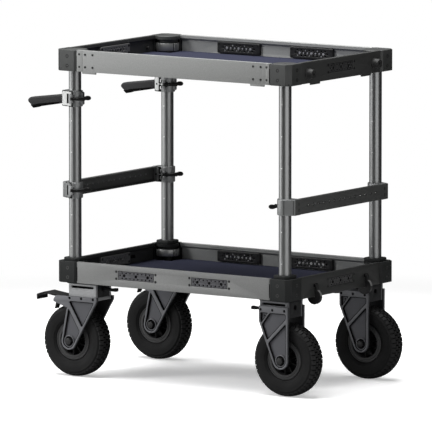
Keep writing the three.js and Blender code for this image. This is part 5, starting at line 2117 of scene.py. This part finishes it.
@dataclass
class MidRail:
    """A rail at half height, at the left end (side -1) or the right, with a jaw at each end."""

    tag: str
    side: int
    z: float = 591.0
    face: float = 43.0
    half: float = 23.5
    depth: float = 18.0
    over: float = 6.5
    web: float = 4.5
    web_bevel: float = 0.7
    flange: float = 4.0
    flange_bevel: float = 0.8
    end: float = 2.6
    end_trim: float = 2.0
    end_bevel: float = 0.5
    back: float = 2.2
    hole_count: int = 14
    hole_pitch: float = 29.5
    hole_z: float = 2.0
    hole: float = 2.9
    hole_steps: int = 12
    between: tuple[int, ...] = (2, 3, 7, 11, 12)
    between_radius: float = 1.8
    between_steps: int = 10
    ring: float = 4.3
    ring_steps: int = 20
    ring_ends: Point = (0.2, 0.15)
    insert: float = 2.88
    insert_bore: float = 1.5
    insert_ends: Point = (4.6, 0.9)
    jaw_step: float = 0.9
    jaw_reach: float = 24.5
    plate_face: float = 39.0
    mark_y: float = 243.5
    mark_z: float = 9.5
    mark_size: Numbers = (3.6, 9.5, 1.5)
    mark_ends: Point = (0.5, 0.2)
    mark_bevel: float = 0.1

    @property
    def seat(self) -> Seat:
        """Return the rail's body and place."""
        mirror = Matrix.Diagonal((self.side, -self.side, 1, 1))
        return Seat("mid_rail_" + self.tag, moved(self.side * MAST_X, 0, self.z) @ mirror)

    def build(self) -> None:
        """Build and place the rail with its levers."""
        self._fit(self._channel(), "channel", MID_RAIL, "mid_rail_" + self.tag)
        self._fit(self._rings(), "hole_rings", SCREW_DARK)
        self._fit(self._inserts(), "inserts", INSERT_AND_HOLE_LIGHT if self.side > 0 else CLAMP_PALE)
        self._fit(self._jaws(), "jaws", CLAMP_METAL)
        self._flanks()
        self._fit(self._marks(), "screws", SCREW_DARK)
        for end, sy in (("front", -1), ("back", 1)):
            place = self.seat.place @ moved(0, -self.side * sy * MAST_Y)
            CamLever().build(f"mid_lever_{end}_{self.tag}", place, -self.side)

    def _fit(self, solid: Solid, part: str, finish: Finish, *nodes: str) -> None:
        """Make a solid one of the rail's pieces."""
        solid.piece(f"mid_rail_{part}_{self.tag}", finish, self.seat, *nodes)

    def _spots(self, count: int) -> list[Point]:
        """Return the places of a row of holes, spread evenly about the middle."""
        pitch, first = self.hole_pitch, (count - 1) * HALF
        return [((i - first) * pitch, self.hole_z) for i in range(count)]

    def _channel(self) -> Solid:
        """Return the channel with its holes and its end plates."""
        far, half, face = MAST_Y + self.over, self.half, self.face
        holes = [circle(*spot, self.hole, self.hole_steps) for spot in self._spots(self.hole_count)]
        small, radius, steps = self.hole_count + 1, self.between_radius, self.between_steps
        holes += [circle(*self._spots(small)[i], radius, steps) for i in self.between]
        web = rectangle(-far, far, -half, half)
        made = Solid().slab(Axis.X, web, face - self.web, face, self.web_bevel, holes)
        low, high = face - self.depth, face - self.back
        for side in SIDES:
            ends = span(side, half - self.flange, half)
            made.slab(Axis.Z, rectangle(low, high, -far, far), *ends, self.flange_bevel)
            ends = span(side, far - self.end, far)
            plate = rectangle(low, high, self.end_trim - half, half - self.end_trim)
            made.slab(Axis.Y, plate, *ends, self.end_bevel)
        return made

    def _rings(self) -> Solid:
        """Return the dark rings round the holes: painted shade for their countersinks."""
        made, (sink, proud) = Solid(), self.ring_ends
        for spot in self._spots(self.hole_count):
            ring, hole = circle(*spot, self.ring, self.ring_steps), self.hole
            holes = [circle(*spot, hole, self.hole_steps)]
            made.slab(Axis.X, ring, self.face - sink, self.face + proud, holes=holes)
        return made

    def _inserts(self) -> Solid:
        """Return the threaded inserts in the holes."""
        made, steps = Solid(), self.hole_steps
        low, high = (self.face - depth for depth in self.insert_ends)
        for spot in self._spots(self.hole_count):
            bore = circle(*spot, self.insert_bore, steps)
            made.slab(Axis.X, circle(*spot, self.insert, steps), low, high, holes=[bore])
        return made

    def _jaws(self) -> Solid:
        """Return the jaws at the rail's ends."""
        made, jaw = Solid(), Jaw(self.face - self.jaw_step, self.over, self.jaw_reach)
        for side in SIDES:
            made.add(jaw.solid(-side), moved(0, side * MAST_Y))
        return made

    def _flanks(self) -> None:
        """Dress the jaws: with plates on the left, with strips and their seams on the right."""
        strips, seams, seat = Solid(), Solid(), self.seat
        flank = Jaw(self.face, self.over, self.over)
        for end, side in (("front", -1), ("back", 1)):
            spot = moved(0, side * MAST_Y)
            if self.side < 0:
                front = self.over if side < 0 else self.jaw_reach
                place = Seat(seat.body, seat.place @ spot)
                plate = Jaw(self.plate_face, front, front)
                plate.dress("mid_rail_" + end, self.tag, CLAMP_PALE, place, side < 0)
            else:
                turned = spot @ Matrix.Diagonal((1, -side, 1, 1))
                strips.add(flank.patches(END_STRIPS), turned)
                seams.add(flank.patches(END_SEAMS), turned)
        if self.side > 0:
            self._fit(strips, "strips", CLAMP_PALE)
            self._fit(seams, "seams", SCREW_DARK)

    def _marks(self) -> Solid:
        """Return the screws at the rail's ends."""
        made, (sink, proud) = Solid(), self.mark_ends
        for side in SIDES:
            for z in (-self.mark_z, self.mark_z):
                slot = rounded(side * self.mark_y, z, *self.mark_size)
                made.slab(Axis.X, slot, self.face - sink, self.face + proud, self.mark_bevel)
        return made


@dataclass(frozen=True)
class Lamp:
    """A soft rectangular light. Places and sizes are in metres, its power in watts."""

    name: str
    spot: Place
    aim: Place
    width: float
    height: float
    power: float

    def build(self) -> None:
        """Add the light to the scene."""
        data = bpy.data.lights.new(self.name, "AREA")
        data.shape = "RECTANGLE"
        data.size = self.width
        data.size_y = self.height
        data.energy = self.power
        light = bpy.data.objects.new(self.name, data)
        light.location = self.spot
        towards = Vector(self.aim) - Vector(self.spot)
        light.rotation_euler = towards.to_track_quat("-Z", "Y").to_euler()
        bpy.context.scene.collection.objects.link(light)


LAMPS = (
    Lamp("key", (-3.3, -3.5, 3.3), (0.0, 0.0, 0.5), 1.4, 1.4, 120.0),
    Lamp("side", (-2.75, -2.0, 0.5), (0.0, 0.0, 0.6), 4.4, 1.0, 36.0),
    Lamp("edge", (2.75, -1.25, 0.6), (0.0, 0.0, 0.6), 3.0, 1.1, 17.0),
    Lamp("top", (-0.5, -0.3, 4.6), (0.0, 0.0, 0.2), 4.6, 4.0, 390.0),
)
WHITE = (1, 1, 1, 1)


@dataclass
class Studio:
    """Camera, floor and lights. The floor's sizes are in metres."""

    azimuth: float = 33.924
    elevation: float = 7.068
    distance: float = 24911.0
    lens: float = 663.867
    sensor: float = 36.0
    clip_end: float = 200.0
    aim_x: float = -29.048
    aim_z: float = 509.1
    floor_size: float = 90.0
    floor_colour: float = 0.92
    floor_bounce: float = 0.4
    floor_lift: float = 0.38
    fade_start: float = 1.3
    fade_end: float = 2.6
    sky: float = 0.11

    def build(self) -> None:
        """Set the stage."""
        self._camera()
        self._floor()
        self._world()
        for lamp in LAMPS:
            lamp.build()
        bpy.context.scene.view_settings.view_transform = "Standard"

    def _camera(self) -> None:
        """Put the camera where the photograph was taken from."""
        a, e = math.radians(self.azimuth), math.radians(self.elevation)
        back = Vector((math.sin(a) * math.cos(e), -math.cos(a) * math.cos(e), math.sin(e)))
        right = Vector((math.cos(a), math.sin(a), 0))
        aim_x, aim_y = self.aim_x * math.cos(a) + CART_SHIFT, self.aim_x * math.sin(a)
        aim = Vector((aim_x, aim_y, self.aim_z)) * MM
        data = bpy.data.cameras.new("camera")
        data.lens = self.lens
        data.sensor_width = self.sensor
        data.clip_end = self.clip_end
        camera = bpy.data.objects.new("camera", data)
        spot = aim + back * self.distance * MM
        turn = Matrix((right, back.cross(right), back)).transposed().to_4x4()
        camera.matrix_world = Matrix.Translation(spot) @ turn
        bpy.context.scene.collection.objects.link(camera)
        bpy.context.scene.camera = camera

    def _floor(self) -> None:
        """Lay a plain pale floor."""
        half = self.floor_size * HALF
        data = bpy.data.meshes.new("studio_floor")
        corners = [(x, y, 0) for x, y in rectangle(-half, half, -half, half)]
        data.from_pydata(corners, [], [range(len(corners))])
        floor = bpy.data.objects.new("studio_floor", data)
        bpy.context.scene.collection.objects.link(floor)
        material = bpy.data.materials.new("studio_floor")
        material.use_nodes = True
        self._floor_shader(material.node_tree)
        data.materials.append(material)

    def _floor_shader(self, tree: Tree) -> None:
        """Let the floor take the shadows near the cart and fade to white further away.

        Args:
            tree: The floor material's node tree.
        """
        tree.nodes.clear()
        link = tree.links.new
        seen = add_node(tree, "LightPath").outputs["Is Camera Ray"]
        ends = {"To Min": self.floor_bounce, "To Max": self.floor_colour}
        shade = add_node(tree, "MapRange", ends)
        link(seen, shade.inputs["Value"])
        diffuse = add_node(tree, "BsdfDiffuse")
        link(shade.outputs["Result"], diffuse.inputs["Color"])
        strength = add_node(tree, "Math", operation="MULTIPLY")
        strength.inputs[1].default_value = self.floor_lift
        link(seen, strength.inputs[0])
        lift = add_node(tree, "Emission")
        link(strength.outputs[0], lift.inputs["Strength"])
        near = add_node(tree, "AddShader")
        link(diffuse.outputs[0], near.inputs[0])
        link(lift.outputs[0], near.inputs[1])
        length = add_node(tree, "VectorMath", operation="LENGTH")
        link(add_node(tree, "TexCoord").outputs["Object"], length.inputs[0])
        ends = {"From Min": self.fade_start, "From Max": self.fade_end}
        fade = add_node(tree, "MapRange", ends)
        fade.interpolation_type = "SMOOTHSTEP"
        link(length.outputs["Value"], fade.inputs["Value"])
        gate = add_node(tree, "Math", operation="MULTIPLY")
        link(fade.outputs["Result"], gate.inputs[0])
        link(seen, gate.inputs[1])
        white = add_node(tree, "Emission")
        link(gate.outputs[0], white.inputs["Strength"])
        mix = add_node(tree, "MixShader")
        link(fade.outputs["Result"], mix.inputs["Fac"])
        link(near.outputs[0], mix.inputs[1])
        link(white.outputs[0], mix.inputs[2])
        link(mix.outputs[0], add_node(tree, "OutputMaterial").inputs["Surface"])

    def _world(self) -> None:
        """Make the surroundings white to the camera and a softer grey to the cart."""
        world = bpy.data.worlds.new("studio")
        bpy.context.scene.world = world
        world.use_nodes = True
        tree = world.node_tree
        tree.nodes.clear()
        link = tree.links.new
        mix = add_node(tree, "MixShader")
        link(add_node(tree, "LightPath").outputs["Is Camera Ray"], mix.inputs["Fac"])
        around = add_node(tree, "Background", {"Color": WHITE, "Strength": self.sky})
        seen = add_node(tree, "Background", {"Color": WHITE, "Strength": 1.0})
        link(around.outputs[0], mix.inputs[1])
        link(seen.outputs[0], mix.inputs[2])
        link(mix.outputs[0], add_node(tree, "OutputWorld").inputs["Surface"])


def main() -> None:
    """Build the cart, sub-assembly by sub-assembly."""
    logging.basicConfig(level=logging.INFO, format="%(name)s: %(message)s")
    Studio().build()
    Masts().build()
    Shelf("top", "top_shelf", TOP_SHELF, True).build()
    Shelf("base", "base", BASE_SHELF, False).build()
    Knobs().build()
    ReleaseLevers().build()
    Casters().build()
    Handles().build()
    MidRail("left", -1).build()
    MidRail("right", 1).build()


if __name__ == "__main__":
    main()
